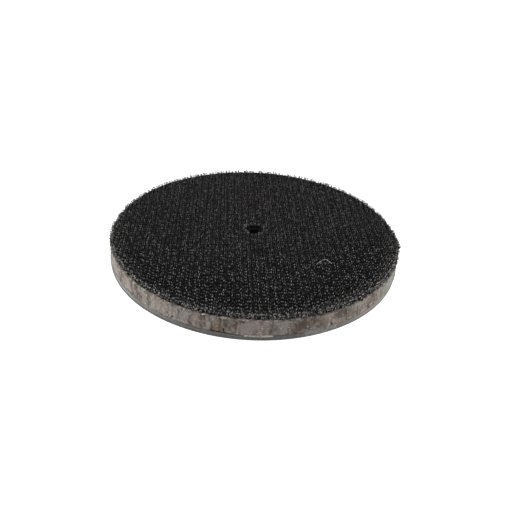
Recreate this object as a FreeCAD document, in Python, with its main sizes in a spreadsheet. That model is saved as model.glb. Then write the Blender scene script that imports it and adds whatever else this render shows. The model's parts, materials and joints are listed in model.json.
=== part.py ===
"""Hook-and-loop backing pad of a random orbital sander.

+Z points towards the hook face. The origin is on the spindle stud's axis, in the plane of the hex
collar's seat face, from which the thread hangs down. Every height is stacked up from that plane.
"""

import FreeCAD
import Part
import math
import os
import Sketcher

# ---------------------------------------------------------------- driving sizes, in millimetres

SIZES = {
    # spindle stud
    "thread_radius": 3.97,  # 5/16 inch thread, at its crests
    "thread_length": 12.7,
    "thread_lead_in": 0.8,
    "collar_flats": 17.0,  # across the flats of the wrench hexagon
    "collar_height": 4.0,
    "collar_corner_cut": 0.9,
    "boss_radius": 6.0,
    "boss_edge_chamfer": 0.4,
    "staked_rim_lip": 1.2,  # past the boss
    "staked_rim_height": 0.7,
    "socket_flats": 6.35,  # 1/4 inch hex key
    "socket_depth": 5.0,
    # riveted hub
    "seat_margin": 3.2,  # the flange's raised seat, past the collar's corners
    "seat_height": 1.2,
    "flange_thickness": 1.6,
    "flange_margin": 2.3,  # flange past the rivet heads
    "flange_edge_fillet": 0.6,
    "seat_fillet": 0.5,
    "clinch_thickness": 1.2,
    "clinch_margin": 1.5,  # clinch plate past the formed heads
    "clinch_chamfer": 0.3,
    "rivet_count": 6,
    "rivet_radius": 2.0,
    "rivet_head_lip": 1.5,  # past the shank
    "rivet_head_height": 1.5,
    "rivet_head_gap": 0.7,  # between a rivet head and the raised seat
    "formed_head_lip": 1.0,  # past the shank
    "formed_head_height": 1.0,
    # plate, foam and cloth
    "plate_radius": 62.5,  # a 125 mm pad
    "plate_thickness": 2.0,
    "plate_chamfer": 0.35,
    "glue_thickness": 0.15,
    "glue_inset": 0.25,  # the glue line stops this far inside the plate's edge
    "foam_thickness": 6.7,
    "foam_draft": 0.25,  # the foam's top is this much smaller in radius than its base
    "foam_edge_fillet": 0.3,
    "foam_clearance": 0.3,  # between the foam and the hub parts inside it
    "film_thickness": 0.1,
    "film_inset": 0.5,
    "cloth_inset": 0.94,  # the cloth's edge, inside the plate's edge
    "cloth_thickness": 0.35,
    "pile_height": 1.25,
    "centre_hole_radius": 4.0,
    "boss_gap": 0.3,  # between the boss's end and the glue film above it
}


def size(name):
    """The expression that reads one driving size from the sheet."""
    return f"Sizes.{name}"


# heights, from the seat face up
SEAT_LOW = size("collar_height")
FLANGE_LOW = f"({SEAT_LOW} + {size('seat_height')})"
PLATE_LOW = f"({FLANGE_LOW} + {size('flange_thickness')})"
PLATE_TOP = f"({PLATE_LOW} + {size('plate_thickness')})"
CLINCH_TOP = f"({PLATE_TOP} + {size('clinch_thickness')})"
STAKED_TOP = f"({CLINCH_TOP} + {size('staked_rim_height')})"
FORMED_TOP = f"({CLINCH_TOP} + {size('formed_head_height')})"
POCKET_TOP = f"(max({STAKED_TOP}; {FORMED_TOP}) + {size('foam_clearance')})"
FOAM_LOW = f"({PLATE_TOP} + {size('glue_thickness')})"
FOAM_TOP = f"({FOAM_LOW} + {size('foam_thickness')})"
BOSS_TOP = f"({FOAM_TOP} - {size('boss_gap')})"
CLOTH_LOW = f"({FOAM_TOP} + {size('film_thickness')})"
PILE_LOW = f"({CLOTH_LOW} + {size('cloth_thickness')})"

# radii, from the collar out
STAKED_RIM = f"({size('boss_radius')} + {size('staked_rim_lip')})"
RIVET_HEAD = f"({size('rivet_radius')} + {size('rivet_head_lip')})"
FORMED_HEAD = f"({size('rivet_radius')} + {size('formed_head_lip')})"
COLLAR_CORNER = f"({size('collar_flats')} / sqrt(3))"
SEAT_RADIUS = f"({COLLAR_CORNER} + {size('seat_margin')})"
RIVET_CIRCLE = f"({SEAT_RADIUS} + {size('rivet_head_gap')} + {RIVET_HEAD})"
FLANGE_RADIUS = f"({RIVET_CIRCLE} + {RIVET_HEAD} + {size('flange_margin')})"
CLINCH_RADIUS = f"({RIVET_CIRCLE} + {FORMED_HEAD} + {size('clinch_margin')})"
POCKET_RADIUS = f"({CLINCH_RADIUS} + {size('foam_clearance')})"
FOAM_BORE = f"({size('boss_radius')} + {size('foam_clearance')})"
CLOTH_RADIUS = f"({size('plate_radius')} - {size('cloth_inset')})"

doc = FreeCAD.newDocument("SanderPad")
sheet = doc.addObject("Spreadsheet::Sheet", "Sizes")
for row, (alias, value) in enumerate(SIZES.items(), start=1):
    sheet.set(f"A{row}", alias)
    sheet.set(f"B{row}", str(value))
    sheet.setAlias(f"B{row}", alias)
doc.recompute()


# ---------------------------------------------------------------- helpers


def evaluated(expression):
    """The number that an expression on the sheet gives now, for a first guess or an edge search."""
    return float(sheet.evalExpression(expression))


def new_body(label):
    body = doc.addObject("PartDesign::Body", label)
    body.Label = label
    body.Placement = FreeCAD.Placement()
    return body


def new_sketch(body, name, plane="XY_Plane", height=None, across=None):
    """A sketch on one of the body's own origin planes, lifted or moved across by an expression."""
    sketch = body.newObject("Sketcher::SketchObject", f"{body.Label}_{name}")
    origin_plane = next(f for f in body.Origin.OriginFeatures if f.Role == plane)
    sketch.AttachmentSupport = [(origin_plane, "")]
    sketch.MapMode = "FlatFace"
    if height is not None:
        sketch.setExpression("AttachmentOffset.Base.z", height)
    if across is not None:
        sketch.setExpression("AttachmentOffset.Base.x", across)
    return sketch


def bind(sketch, kind, *where, expression):
    """Adds a dimension whose value is the expression."""
    index = sketch.addConstraint(Sketcher.Constraint(kind, *where, evaluated(expression)))
    sketch.setExpression(f"Constraints[{index}]", expression)


def add_circle(sketch, radius, across=None):
    """A circle about the sketch's origin, or about a point on its horizontal axis."""
    centre_x = 0.0 if across is None else evaluated(across)
    circle = Part.Circle(FreeCAD.Vector(centre_x, 0, 0), FreeCAD.Vector(0, 0, 1), evaluated(radius))
    index = sketch.addGeometry(circle)
    if across is None:
        sketch.addConstraint(Sketcher.Constraint("Coincident", index, 3, -1, 1))
    else:
        sketch.addConstraint(Sketcher.Constraint("PointOnObject", index, 3, -1))
        bind(sketch, "DistanceX", -1, 1, index, 3, expression=across)
    bind(sketch, "Radius", index, expression=radius)


def dome_between(start, end):
    """An arc centred on the vertical axis, between a point on that axis and one beside it."""
    pole, rim = sorted((start, end), key=lambda spot: abs(spot.x))
    rise = rim.y - pole.y
    radius = (rim.x**2 + rise**2) / (2 * rise)
    centre = FreeCAD.Vector(0, pole.y + radius, 0)
    outward = ((start + end) * 0.5 - centre).normalize()
    return Part.Arc(start, centre + outward * abs(radius), end)


def add_outline(sketch, points, domes=()):
    """A closed anticlockwise outline through (across, up) points.

    A coordinate is an expression, or 0 for a point on an axis. The sides that domes names by
    number are arcs centred on the vertical axis, and the others are straight.
    """
    spots = [
        FreeCAD.Vector(0 if x == 0 else evaluated(x), 0 if y == 0 else evaluated(y), 0)
        for x, y in points
    ]
    for side, (start, end) in enumerate(zip(spots, spots[1:] + spots[:1])):
        if side in domes:
            sketch.addGeometry(dome_between(start, end))
        else:
            sketch.addGeometry(Part.LineSegment(start, end))
    for side in range(len(points)):
        sketch.addConstraint(
            Sketcher.Constraint("Coincident", side, 2, (side + 1) % len(points), 1)
        )
    for side in domes:
        sketch.addConstraint(Sketcher.Constraint("PointOnObject", side, 3, -2))
    for corner, (x, y) in enumerate(points):
        if x == 0:
            sketch.addConstraint(Sketcher.Constraint("PointOnObject", corner, 1, -2))
        else:
            bind(sketch, "DistanceX", -1, 1, corner, 1, expression=x)
        if y == 0:
            sketch.addConstraint(Sketcher.Constraint("PointOnObject", corner, 1, -1))
        else:
            bind(sketch, "DistanceY", -1, 1, corner, 1, expression=y)


def add_hexagon(sketch, flats):
    """A regular hexagon about the sketch's origin, with two corners on its horizontal axis."""
    corner = evaluated(flats) / math.sqrt(3)
    spots = [
        FreeCAD.Vector(corner * math.cos(turn), corner * math.sin(turn), 0)
        for turn in (math.radians(60 * side) for side in range(6))
    ]
    for start, end in zip(spots, spots[1:] + spots[:1]):
        sketch.addGeometry(Part.LineSegment(start, end))
    guide = sketch.addGeometry(
        Part.Circle(FreeCAD.Vector(0, 0, 0), FreeCAD.Vector(0, 0, 1), corner), True
    )
    sketch.addConstraint(Sketcher.Constraint("Coincident", guide, 3, -1, 1))
    for side in range(6):
        sketch.addConstraint(Sketcher.Constraint("Coincident", side, 2, (side + 1) % 6, 1))
        sketch.addConstraint(Sketcher.Constraint("PointOnObject", side, 1, guide))
    for side in range(1, 6):
        sketch.addConstraint(Sketcher.Constraint("Equal", 0, side))
    sketch.addConstraint(Sketcher.Constraint("PointOnObject", 0, 1, -1))
    bind(sketch, "Radius", guide, expression=f"{flats} / sqrt(3)")


def pad(body, name, sketch, length):
    feature = body.newObject("PartDesign::Pad", f"{body.Label}_{name}")
    feature.Profile = sketch
    feature.setExpression("Length", length)
    doc.recompute()
    return feature


def revolve(body, name, sketch):
    feature = body.newObject("PartDesign::Revolution", f"{body.Label}_{name}")
    feature.Profile = sketch
    feature.ReferenceAxis = (sketch, ["V_Axis"])
    feature.Angle = 360
    doc.recompute()
    return feature


def pocket(body, name, sketch, depth, upwards=False):
    """Cuts down from the sketch by the depth, or up, and makes sure that it cut something."""
    before = body.Shape.Volume
    feature = body.newObject("PartDesign::Pocket", f"{body.Label}_{name}")
    feature.Profile = sketch
    feature.Reversed = upwards
    feature.setExpression("Length", depth)
    doc.recompute()
    if not body.Shape.Volume < before:
        raise RuntimeError(f"{feature.Name} cut nothing")
    return feature


def groove(body, name, sketch):
    """Turns a profile's material away, and makes sure that it cut something."""
    before = body.Shape.Volume
    feature = body.newObject("PartDesign::Groove", f"{body.Label}_{name}")
    feature.Profile = sketch
    feature.ReferenceAxis = (sketch, ["V_Axis"])
    feature.Angle = 360
    doc.recompute()
    if not body.Shape.Volume < before:
        raise RuntimeError(f"{feature.Name} cut nothing")
    return feature


def round_the_axis(body, name, feature):
    """Repeats a feature about the pad's axis, once for each rivet."""
    pattern = body.newObject("PartDesign::PolarPattern", f"{body.Label}_{name}")
    pattern.Originals = [feature]
    pattern.Axis = (next(f for f in body.Origin.OriginFeatures if f.Role == "Z_Axis"), [""])
    pattern.Angle = 360
    pattern.setExpression("Occurrences", size("rivet_count"))
    body.Tip = pattern
    doc.recompute()
    return pattern


def circle_edges(shape, *rings):
    """Names of the shape's full circles about the pad's axis at the given (radius, height) pairs."""
    found = []
    for number, edge in enumerate(shape.Edges, start=1):
        if not isinstance(edge.Curve, Part.Circle):
            continue
        for radius, height in rings:
            same_radius = abs(edge.Curve.Radius - evaluated(radius)) < 1e-4
            same_height = abs(edge.Curve.Center.z - evaluated(height)) < 1e-4
            if same_radius and same_height:
                found.append(f"Edge{number}")
    if len(found) != len(rings):
        raise RuntimeError(f"found {len(found)} of {len(rings)} edges")
    return found


def dress(body, kind, name, base, rings, dimension, expression):
    """A PartDesign Fillet or Chamfer on circular edges of the base feature."""
    feature = body.newObject(f"PartDesign::{kind}", f"{body.Label}_{name}")
    feature.Base = (base, circle_edges(base.Shape, *rings))
    feature.setExpression(dimension, expression)
    doc.recompute()
    return feature


def ring(label, inner, outer, low, thickness):
    """A flat ring padded up from a height."""
    body = new_body(label)
    sketch = new_sketch(body, "outline", height=low)
    add_circle(sketch, outer)
    add_circle(sketch, inner)
    pad(body, "disc", sketch, thickness)
    return body


def rivet_holes(body, low, depth):
    """The ring of rivet holes, cut up through a piece from its low face."""
    sketch = new_sketch(body, "rivet_hole_outline", height=low)
    add_circle(sketch, size("rivet_radius"), across=RIVET_CIRCLE)
    hole = pocket(body, "rivet_hole", sketch, depth, upwards=True)
    round_the_axis(body, "rivet_hole_ring", hole)


# ---------------------------------------------------------------- steel hub


def make_spindle_stud():
    """Thread, hex collar and a boss with a hex socket, turned from one bar."""
    body = new_body("spindle_stud")
    profile = new_sketch(body, "turned_profile", plane="XZ_Plane")
    tip = f"-{size('thread_length')}"
    crest = size("thread_radius")
    shoulder = size("boss_radius")
    chamfer = size("boss_edge_chamfer")
    add_outline(
        profile,
        [
            (0, tip),
            (f"{crest} - {size('thread_lead_in')}", tip),
            (crest, f"{tip} + {size('thread_lead_in')}"),
            (crest, 0),
            (shoulder, 0),
            (shoulder, CLINCH_TOP),
            (STAKED_RIM, CLINCH_TOP),
            (shoulder, STAKED_TOP),
            (shoulder, f"{BOSS_TOP} - {chamfer}"),
            (f"{shoulder} - {chamfer}", BOSS_TOP),
            (0, BOSS_TOP),
        ],
    )
    revolve(body, "turned", profile)
    hexagon = new_sketch(body, "collar_outline")
    add_hexagon(hexagon, size("collar_flats"))
    pad(body, "collar", hexagon, size("collar_height"))
    corner_cut = size("collar_corner_cut")
    corner_slope = f"({corner_cut} * tan(60))"
    outside = f"({COLLAR_CORNER} + {corner_slope})"
    cutter = new_sketch(body, "corner_cut_profile", plane="XZ_Plane")
    add_outline(
        cutter,
        [
            (f"{COLLAR_CORNER} - {corner_slope}", 0),
            (outside, 0),
            (outside, f"2 * {corner_cut}"),
        ],
    )
    groove(body, "corner_cut", cutter)
    key = new_sketch(body, "socket_outline", height=BOSS_TOP)
    add_hexagon(key, size("socket_flats"))
    pocket(body, "socket", key, size("socket_depth"))
    return body


def make_hub_flange():
    """Flange with a raised seat, riveted to the plate's back."""
    body = new_body("hub_flange")
    profile = new_sketch(body, "profile", plane="XZ_Plane")
    bore = size("boss_radius")
    add_outline(
        profile,
        [
            (bore, SEAT_LOW),
            (SEAT_RADIUS, SEAT_LOW),
            (SEAT_RADIUS, FLANGE_LOW),
            (FLANGE_RADIUS, FLANGE_LOW),
            (FLANGE_RADIUS, PLATE_LOW),
            (bore, PLATE_LOW),
        ],
    )
    turned = revolve(body, "turned", profile)
    rim = dress(
        body, "Fillet", "rim", turned, [(FLANGE_RADIUS, FLANGE_LOW)],
        "Radius", size("flange_edge_fillet"),
    )
    dress(
        body, "Fillet", "seat_edge", rim, [(SEAT_RADIUS, SEAT_LOW)],
        "Radius", size("seat_fillet"),
    )
    rivet_holes(body, FLANGE_LOW, size("flange_thickness"))
    return body


def make_clinch_plate():
    """Disc under the rivets' formed heads, on the foam side of the plate."""
    body = ring(
        "clinch_plate", size("boss_radius"), CLINCH_RADIUS, PLATE_TOP, size("clinch_thickness")
    )
    dress(
        body, "Chamfer", "rim", body.Tip, [(CLINCH_RADIUS, CLINCH_TOP)],
        "Size", size("clinch_chamfer"),
    )
    rivet_holes(body, PLATE_TOP, size("clinch_thickness"))
    return body


def make_hub_rivets():
    """Six rivets: a domed head outside, a flatter formed head inside, and a shank between them."""
    body = new_body("hub_rivets")
    body.AllowCompound = True
    profile = new_sketch(body, "profile", plane="XZ_Plane", across=RIVET_CIRCLE)
    shank = size("rivet_radius")
    add_outline(
        profile,
        [
            (0, f"{FLANGE_LOW} - {size('rivet_head_height')}"),
            (RIVET_HEAD, FLANGE_LOW),
            (shank, FLANGE_LOW),
            (shank, CLINCH_TOP),
            (FORMED_HEAD, CLINCH_TOP),
            (0, FORMED_TOP),
        ],
        domes=(0, 4),
    )
    rivet = revolve(body, "rivet", profile)
    round_the_axis(body, "rivet_ring", rivet)
    return body


# ---------------------------------------------------------------- plate, foam and cloth


def make_backing_plate():
    """The stiff disc that carries the foam."""
    body = ring(
        "backing_plate", size("boss_radius"), size("plate_radius"), PLATE_LOW,
        size("plate_thickness"),
    )
    dress(
        body, "Chamfer", "rim", body.Tip,
        [(size("plate_radius"), PLATE_LOW), (size("plate_radius"), PLATE_TOP)],
        "Size", size("plate_chamfer"),
    )
    rivet_holes(body, PLATE_LOW, size("plate_thickness"))
    return body


def make_plate_adhesive():
    """The glue line between the plate and the foam, outside the clinch plate."""
    return ring(
        "plate_adhesive", POCKET_RADIUS, f"{size('plate_radius')} - {size('glue_inset')}",
        PLATE_TOP, size("glue_thickness"),
    )


def make_foam_cushion():
    """Foam disc with a hollow underneath for the hub and a bore round the boss."""
    body = new_body("foam_cushion")
    profile = new_sketch(body, "profile", plane="XZ_Plane")
    top_radius = f"({size('plate_radius')} - {size('foam_draft')})"
    add_outline(
        profile,
        [
            (POCKET_RADIUS, FOAM_LOW),
            (size("plate_radius"), FOAM_LOW),
            (top_radius, FOAM_TOP),
            (FOAM_BORE, FOAM_TOP),
            (FOAM_BORE, POCKET_TOP),
            (POCKET_RADIUS, POCKET_TOP),
        ],
    )
    moulded = revolve(body, "moulded", profile)
    dress(
        body, "Fillet", "rim", moulded,
        [(size("plate_radius"), FOAM_LOW), (top_radius, FOAM_TOP)],
        "Radius", size("foam_edge_fillet"),
    )
    return body


def make_cloth_adhesive():
    """The glue film between the foam and the cloth."""
    return ring(
        "cloth_adhesive", size("centre_hole_radius"), f"{CLOTH_RADIUS} - {size('film_inset')}",
        FOAM_TOP, size("film_thickness"),
    )


def make_hook_cloth():
    """The woven ground that the hooks stand in."""
    return ring(
        "hook_cloth", size("centre_hole_radius"), CLOTH_RADIUS, CLOTH_LOW, size("cloth_thickness")
    )


def make_hook_pile():
    """The outer shape of the hooks, as one soft layer on the cloth."""
    return ring(
        "hook_pile", size("centre_hole_radius"), CLOTH_RADIUS, PILE_LOW, size("pile_height")
    )


SUB_PARTS = [
    make_spindle_stud(),
    make_hub_flange(),
    make_clinch_plate(),
    make_hub_rivets(),
    make_backing_plate(),
    make_plate_adhesive(),
    make_foam_cushion(),
    make_cloth_adhesive(),
    make_hook_cloth(),
    make_hook_pile(),
]

# ---------------------------------------------------------------- check and export

doc.recompute()
for item in doc.Objects:
    if "Invalid" in item.State or "Error" in item.State:
        raise RuntimeError(f"{item.Name} failed: {item.State}")
for sub_part in SUB_PARTS:
    shape = sub_part.Shape
    if shape.isNull() or not shape.isValid():
        raise RuntimeError(f"{sub_part.Label} has no valid shape")

os.makedirs("parts", exist_ok=True)
for sub_part in SUB_PARTS:
    sub_part.Shape.exportStep(f"parts/{sub_part.Label}.step")
    box = sub_part.Shape.BoundBox
    print(
        f"{sub_part.Label}: {len(sub_part.Shape.Solids)} solid(s), "
        f"{sub_part.Shape.Volume:.1f} mm3, z {box.ZMin:.2f} to {box.ZMax:.2f}"
    )
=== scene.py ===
# %% [markdown]
# # A hook-and-loop sanding pad
# This lesson finishes the pad of a random orbital sander: a black hook cloth on a grey-brown foam disc,
# a stiff dark plate under it, and a riveted steel hub with a threaded stud at the back.
# The hard parts come ready made, in metres, from the design. What is left for us is everything that a
# design leaves plain: thousands of hooks, a bare foam side with its pits and stains, glue, thread and metal.

# %% Load the frame
import bmesh
import bpy
import json
import math
import numpy as np
from mathutils import Matrix, Vector, noise


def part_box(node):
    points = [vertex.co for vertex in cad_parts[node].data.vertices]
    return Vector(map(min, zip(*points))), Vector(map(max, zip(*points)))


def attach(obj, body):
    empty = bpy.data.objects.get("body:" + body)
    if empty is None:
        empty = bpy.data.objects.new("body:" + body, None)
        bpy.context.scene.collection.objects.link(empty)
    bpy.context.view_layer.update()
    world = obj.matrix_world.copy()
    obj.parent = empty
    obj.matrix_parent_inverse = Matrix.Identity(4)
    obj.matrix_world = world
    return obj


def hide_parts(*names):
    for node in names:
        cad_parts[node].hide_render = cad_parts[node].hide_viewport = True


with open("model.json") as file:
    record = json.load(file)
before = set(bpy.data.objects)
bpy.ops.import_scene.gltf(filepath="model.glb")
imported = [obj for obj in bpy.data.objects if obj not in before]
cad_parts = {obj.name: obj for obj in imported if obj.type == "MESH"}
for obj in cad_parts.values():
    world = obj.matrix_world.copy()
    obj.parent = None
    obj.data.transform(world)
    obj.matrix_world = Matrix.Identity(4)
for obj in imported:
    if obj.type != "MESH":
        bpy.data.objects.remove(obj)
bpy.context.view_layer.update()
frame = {"nodes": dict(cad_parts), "record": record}
scene = bpy.context.scene
MM = 0.001
BODY = "root"            # nothing on a sanding pad moves on its own, so everything rides on one body

# %% [markdown]
# ## Measures
# Every piece we add takes its place from the design's own parts, so we read their boxes once.
# Heights are along Z, and the pad's axis is the Z axis itself, which keeps round work simple:
# a point is an angle, a radius and a height.

# %% Read the pad's own sizes
cloth_low, cloth_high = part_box("hook_cloth")
foam_low, foam_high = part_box("foam_cushion")
plate_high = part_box("backing_plate")[1]
clinch_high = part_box("clinch_plate")[1]
flange_low, flange_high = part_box("hub_flange")
stud_low, stud_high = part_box("spindle_stud")
pile_low, pile_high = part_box("hook_pile")

cloth_radius = cloth_high.x
foam_radius = foam_high.x
mounts = {mount["name"]: mount for mount in frame["record"]["mounts"]}
hole_radius = mounts["centre_hole"]["dims"]["r_mm"] * MM
thread_radius = mounts["spindle_thread"]["dims"]["r_mm"] * MM
print(f"cloth {cloth_radius / MM:.2f} mm and foam {foam_radius / MM:.2f} mm in radius")
print(f"hole {hole_radius / MM:.1f} mm in radius")

# %% [markdown]
# ## Camera
# The pad is seen from the front and about thirty degrees up, with a short portrait lens. The camera
# leans three degrees, so the pad's far edge drops a little to the right. Blender's camera looks along
# its own -Z, so we build its three axes ourselves and write them into a matrix.

# %% Camera
CAMERA_DISTANCE = 4.2 * cloth_radius
CAMERA_ELEVATION = math.radians(30.21)
CAMERA_LEAN = math.radians(3.05)
CAMERA_LENS_MM = 41.42
AIM = Vector((0.0113 * cloth_radius, -0.3088 * cloth_radius, cloth_low.z))

eye = Vector((0, -math.cos(CAMERA_ELEVATION), math.sin(CAMERA_ELEVATION))) * CAMERA_DISTANCE
eye.z += cloth_low.z
forward = (AIM - eye).normalized()
level = forward.cross(Vector((0, 0, 1))).normalized()
upright = level.cross(forward)
across = math.cos(CAMERA_LEAN) * level + math.sin(CAMERA_LEAN) * upright
upward = math.cos(CAMERA_LEAN) * upright - math.sin(CAMERA_LEAN) * level

camera = bpy.data.objects.new("camera", bpy.data.cameras.new("camera"))
camera.data.lens = CAMERA_LENS_MM
camera.data.sensor_width = 36
camera.data.clip_start, camera.data.clip_end = 0.01, 50
camera.matrix_world = Matrix.Translation(eye) @ Matrix((across, upward, -forward)).transposed().to_4x4()
scene.collection.objects.link(camera)
scene.camera = camera
print(f"camera at {[round(c / MM) for c in eye]} mm")

# %% [markdown]
# ## Light table and soft boxes
# Small tools are often shot on a light table, where the ground glows and no shadow shows. Our floor
# does the same: it is white where the camera looks at it, and a plain pale surface for all other light,
# so its glow doesn't wash out the dark cloth. A large soft box hangs overhead, a weak one stands behind,
# and two stand at the sides, so the pad's side is brightest at its ends and darkest in the middle.
# The plain view transform keeps white as white.

# %% Floor, world and lamps
FLOOR_GLOW = 1.0
FLOOR_PALE = 0.5
WORLD_LIGHT = 0.22
scene.view_settings.view_transform = "Standard"


def link_nodes(tree, start, end):
    tree.links.new(start, end)


def pale_floor():
    mesh = bpy.data.meshes.new("floor")
    side = 12.0
    height = stud_low.z
    corners = [(-side, -side, height), (side, -side, height), (side, side, height), (-side, side, height)]
    mesh.from_pydata(corners, [], [(0, 1, 2, 3)])
    floor = bpy.data.objects.new("floor", mesh)
    scene.collection.objects.link(floor)
    finish = bpy.data.materials.new("pale_floor")
    finish.use_nodes = True
    tree = finish.node_tree
    skin = tree.nodes["Principled BSDF"]
    skin.inputs["Base Color"].default_value = (FLOOR_PALE, FLOOR_PALE, FLOOR_PALE, 1)
    skin.inputs["Roughness"].default_value = 0.9
    skin.inputs["Specular IOR Level"].default_value = 0.1
    skin.inputs["Emission Color"].default_value = (1, 1, 1, 1)
    seen = tree.nodes.new("ShaderNodeLightPath")
    glow = tree.nodes.new("ShaderNodeMath")
    glow.operation = "MULTIPLY"
    glow.inputs[1].default_value = FLOOR_GLOW
    link_nodes(tree, seen.outputs["Is Camera Ray"], glow.inputs[0])
    link_nodes(tree, glow.outputs[0], skin.inputs["Emission Strength"])
    mesh.materials.append(finish)


def soft_box(name, place, size, watts, aim=(0, 0, 0)):
    data = bpy.data.lights.new(name, "AREA")
    data.shape = "RECTANGLE"
    data.size, data.size_y = size
    data.energy = watts
    lamp = bpy.data.objects.new(name, data)
    lamp.location = place
    lamp.rotation_euler = (Vector(aim) - Vector(place)).to_track_quat("-Z", "Y").to_euler()
    lamp.visible_camera = False
    scene.collection.objects.link(lamp)


def pale_world():
    """White where the camera looks past the floor, and a dimmer grey as a light."""
    world = bpy.data.worlds.new("studio")
    scene.world = world
    world.use_nodes = True
    tree = world.node_tree
    glow = tree.nodes["Background"]
    seen = tree.nodes.new("ShaderNodeLightPath")
    strength = tree.nodes.new("ShaderNodeMapRange")
    strength.inputs["To Min"].default_value = WORLD_LIGHT
    strength.inputs["To Max"].default_value = 1.0
    link_nodes(tree, seen.outputs["Is Camera Ray"], strength.inputs["Value"])
    link_nodes(tree, strength.outputs["Result"], glow.inputs["Strength"])
    glow.inputs["Color"].default_value = (1, 1, 1, 1)


pale_floor()
pale_world()
soft_box("overhead", (0.0, 0.0, 0.9), (0.8, 0.6), 9.0)
soft_box("left_side", (-0.9, 0.1, 0.35), (0.6, 0.5), 9.0)
soft_box("right_side", (0.9, 0.05, 0.35), (0.6, 0.5), 5.5)
soft_box("behind", (0.1, 1.1, 0.5), (1.0, 0.5), 2.5)

# %% [markdown]
# ## Helpers for finishes
# A finish is a node material. These few helpers make nodes and wires short to write. What more than one
# finish needs, such as blotches or worn edges, is made once as a node group with named inputs, and each
# finish places it with its own values. Shaders themselves stay in the finish.

# %% Node helpers


def put(tree, kind, operation=None, **values):
    """A node, with its inputs set or wired: a value goes in as it is, and an output is linked."""
    node = tree.nodes.new(kind)
    if operation is not None:
        node.operation = operation
    for name, value in values.items():
        key = int(name[1:]) if name[0] == "_" and name[1:].isdigit() else name.replace("_", " ")
        feed(tree, node.inputs[key], value)
    return node


def feed(tree, socket, value):
    if isinstance(value, bpy.types.NodeSocket):
        tree.links.new(value, socket)
    else:
        socket.default_value = value


def math_node(tree, operation, first, second=0.0, third=0.0, clamp=False):
    node = tree.nodes.new("ShaderNodeMath")
    node.operation = operation
    node.use_clamp = clamp
    for socket, value in zip(node.inputs, (first, second, third)):
        feed(tree, socket, value)
    return node.outputs[0]


def mix_colours(tree, factor, first, second, blend="MIX"):
    node = tree.nodes.new("ShaderNodeMix")
    node.data_type = "RGBA"
    node.blend_type = blend
    feed(tree, node.inputs[0], factor)
    feed(tree, node.inputs[6], first)
    feed(tree, node.inputs[7], second)
    return node.outputs[2]


def span(tree, value, low, high, to_low=0.0, to_high=1.0):
    """Stretches the part of a value between low and high to a new range, and clamps it."""
    node = tree.nodes.new("ShaderNodeMapRange")
    for name, given in (("Value", value), ("From Min", low), ("From Max", high),
                        ("To Min", to_low), ("To Max", to_high)):
        feed(tree, node.inputs[name], given)
    return node.outputs["Result"]


def new_group(name, inputs, outputs):
    """An empty shader group. Inputs and outputs are (name, socket kind, default value)."""
    group = bpy.data.node_groups.new(name, "ShaderNodeTree")
    for title, kind, value in inputs:
        socket = group.interface.new_socket(title, in_out="INPUT", socket_type=f"NodeSocket{kind}")
        if value is not None:
            socket.default_value = value
    for title, kind, _ in outputs:
        group.interface.new_socket(title, in_out="OUTPUT", socket_type=f"NodeSocket{kind}")
    start = group.nodes.new("NodeGroupInput")
    end = group.nodes.new("NodeGroupOutput")
    return group, start.outputs, end.inputs


def place_group(tree, group, **values):
    node = tree.nodes.new("ShaderNodeGroup")
    node.node_tree = group
    for name, value in values.items():
        feed(tree, node.inputs[name.replace("_", " ")], value)
    return node.outputs


def new_finish(name, **plain):
    """A material with one Principled shader. Plain values are set on the shader's own sockets."""
    finish = bpy.data.materials.new(name)
    finish.use_nodes = True
    tree = finish.node_tree
    skin = tree.nodes["Principled BSDF"]
    for title, value in plain.items():
        skin.inputs[title.replace("_", " ")].default_value = value
    where = tree.nodes.new("ShaderNodeTexCoord").outputs["Object"]
    return finish, tree, skin.inputs, where


# %% [markdown]
# ## Shared effects
# Three effects turn up again and again on this pad. *Blotches* are soft uneven patches: dirt, thin
# plating, foam that cured unevenly. *Worn edges* finds convex edges by comparing the true normal with a
# rounded one, and breaks the line up with noise. *Plain weave* gives the over-and-under of two sets of
# threads, as a height and as a mask, for the cloth and for the glass-fibre plate.

# %% Shared effects as node groups


def make_blotches():
    group, given, result = new_group(
        "blotches",
        [("Coordinates", "Vector", None), ("Per Metre", "Float", 100.0), ("Height Share", "Float", 1.0),
         ("Detail", "Float", 4.0), ("Low", "Float", 0.4), ("High", "Float", 0.6)],
        [("Mask", "Float", None)],
    )
    tree = group
    stretch = put(tree, "ShaderNodeCombineXYZ", X=1.0, Y=1.0, Z=given["Height Share"])
    squeezed = put(tree, "ShaderNodeVectorMath", "MULTIPLY", _0=given["Coordinates"], _1=stretch.outputs[0])
    cloud = put(tree, "ShaderNodeTexNoise", Vector=squeezed.outputs[0], Scale=given["Per Metre"],
                Detail=given["Detail"], Roughness=0.55)
    mask = span(tree, cloud.outputs["Fac"], given["Low"], given["High"])
    link_nodes(tree, mask, result["Mask"])
    return group


def make_worn_edges():
    group, given, result = new_group(
        "worn_edges",
        [("Coordinates", "Vector", None), ("Width", "Float", 0.0003), ("Wear", "Float", 0.5)],
        [("Mask", "Float", None)],
    )
    tree = group
    rounded = put(tree, "ShaderNodeBevel", Radius=given["Width"])
    rounded.samples = 4
    true_face = tree.nodes.new("ShaderNodeNewGeometry")
    turn = put(tree, "ShaderNodeVectorMath", "DOT_PRODUCT", _0=rounded.outputs["Normal"],
               _1=true_face.outputs["Normal"])
    edge = span(tree, turn.outputs["Value"], 0.995, 0.9)
    rub = put(tree, "ShaderNodeTexNoise", Vector=given["Coordinates"], Scale=700.0, Detail=3.0)
    broken = math_node(tree, "MULTIPLY_ADD", edge, 1.4, math_node(tree, "SUBTRACT", rub.outputs["Fac"], 1.05))
    mask = math_node(tree, "MULTIPLY", span(tree, broken, 0.0, 0.5), given["Wear"], clamp=True)
    link_nodes(tree, mask, result["Mask"])
    return group


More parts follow.
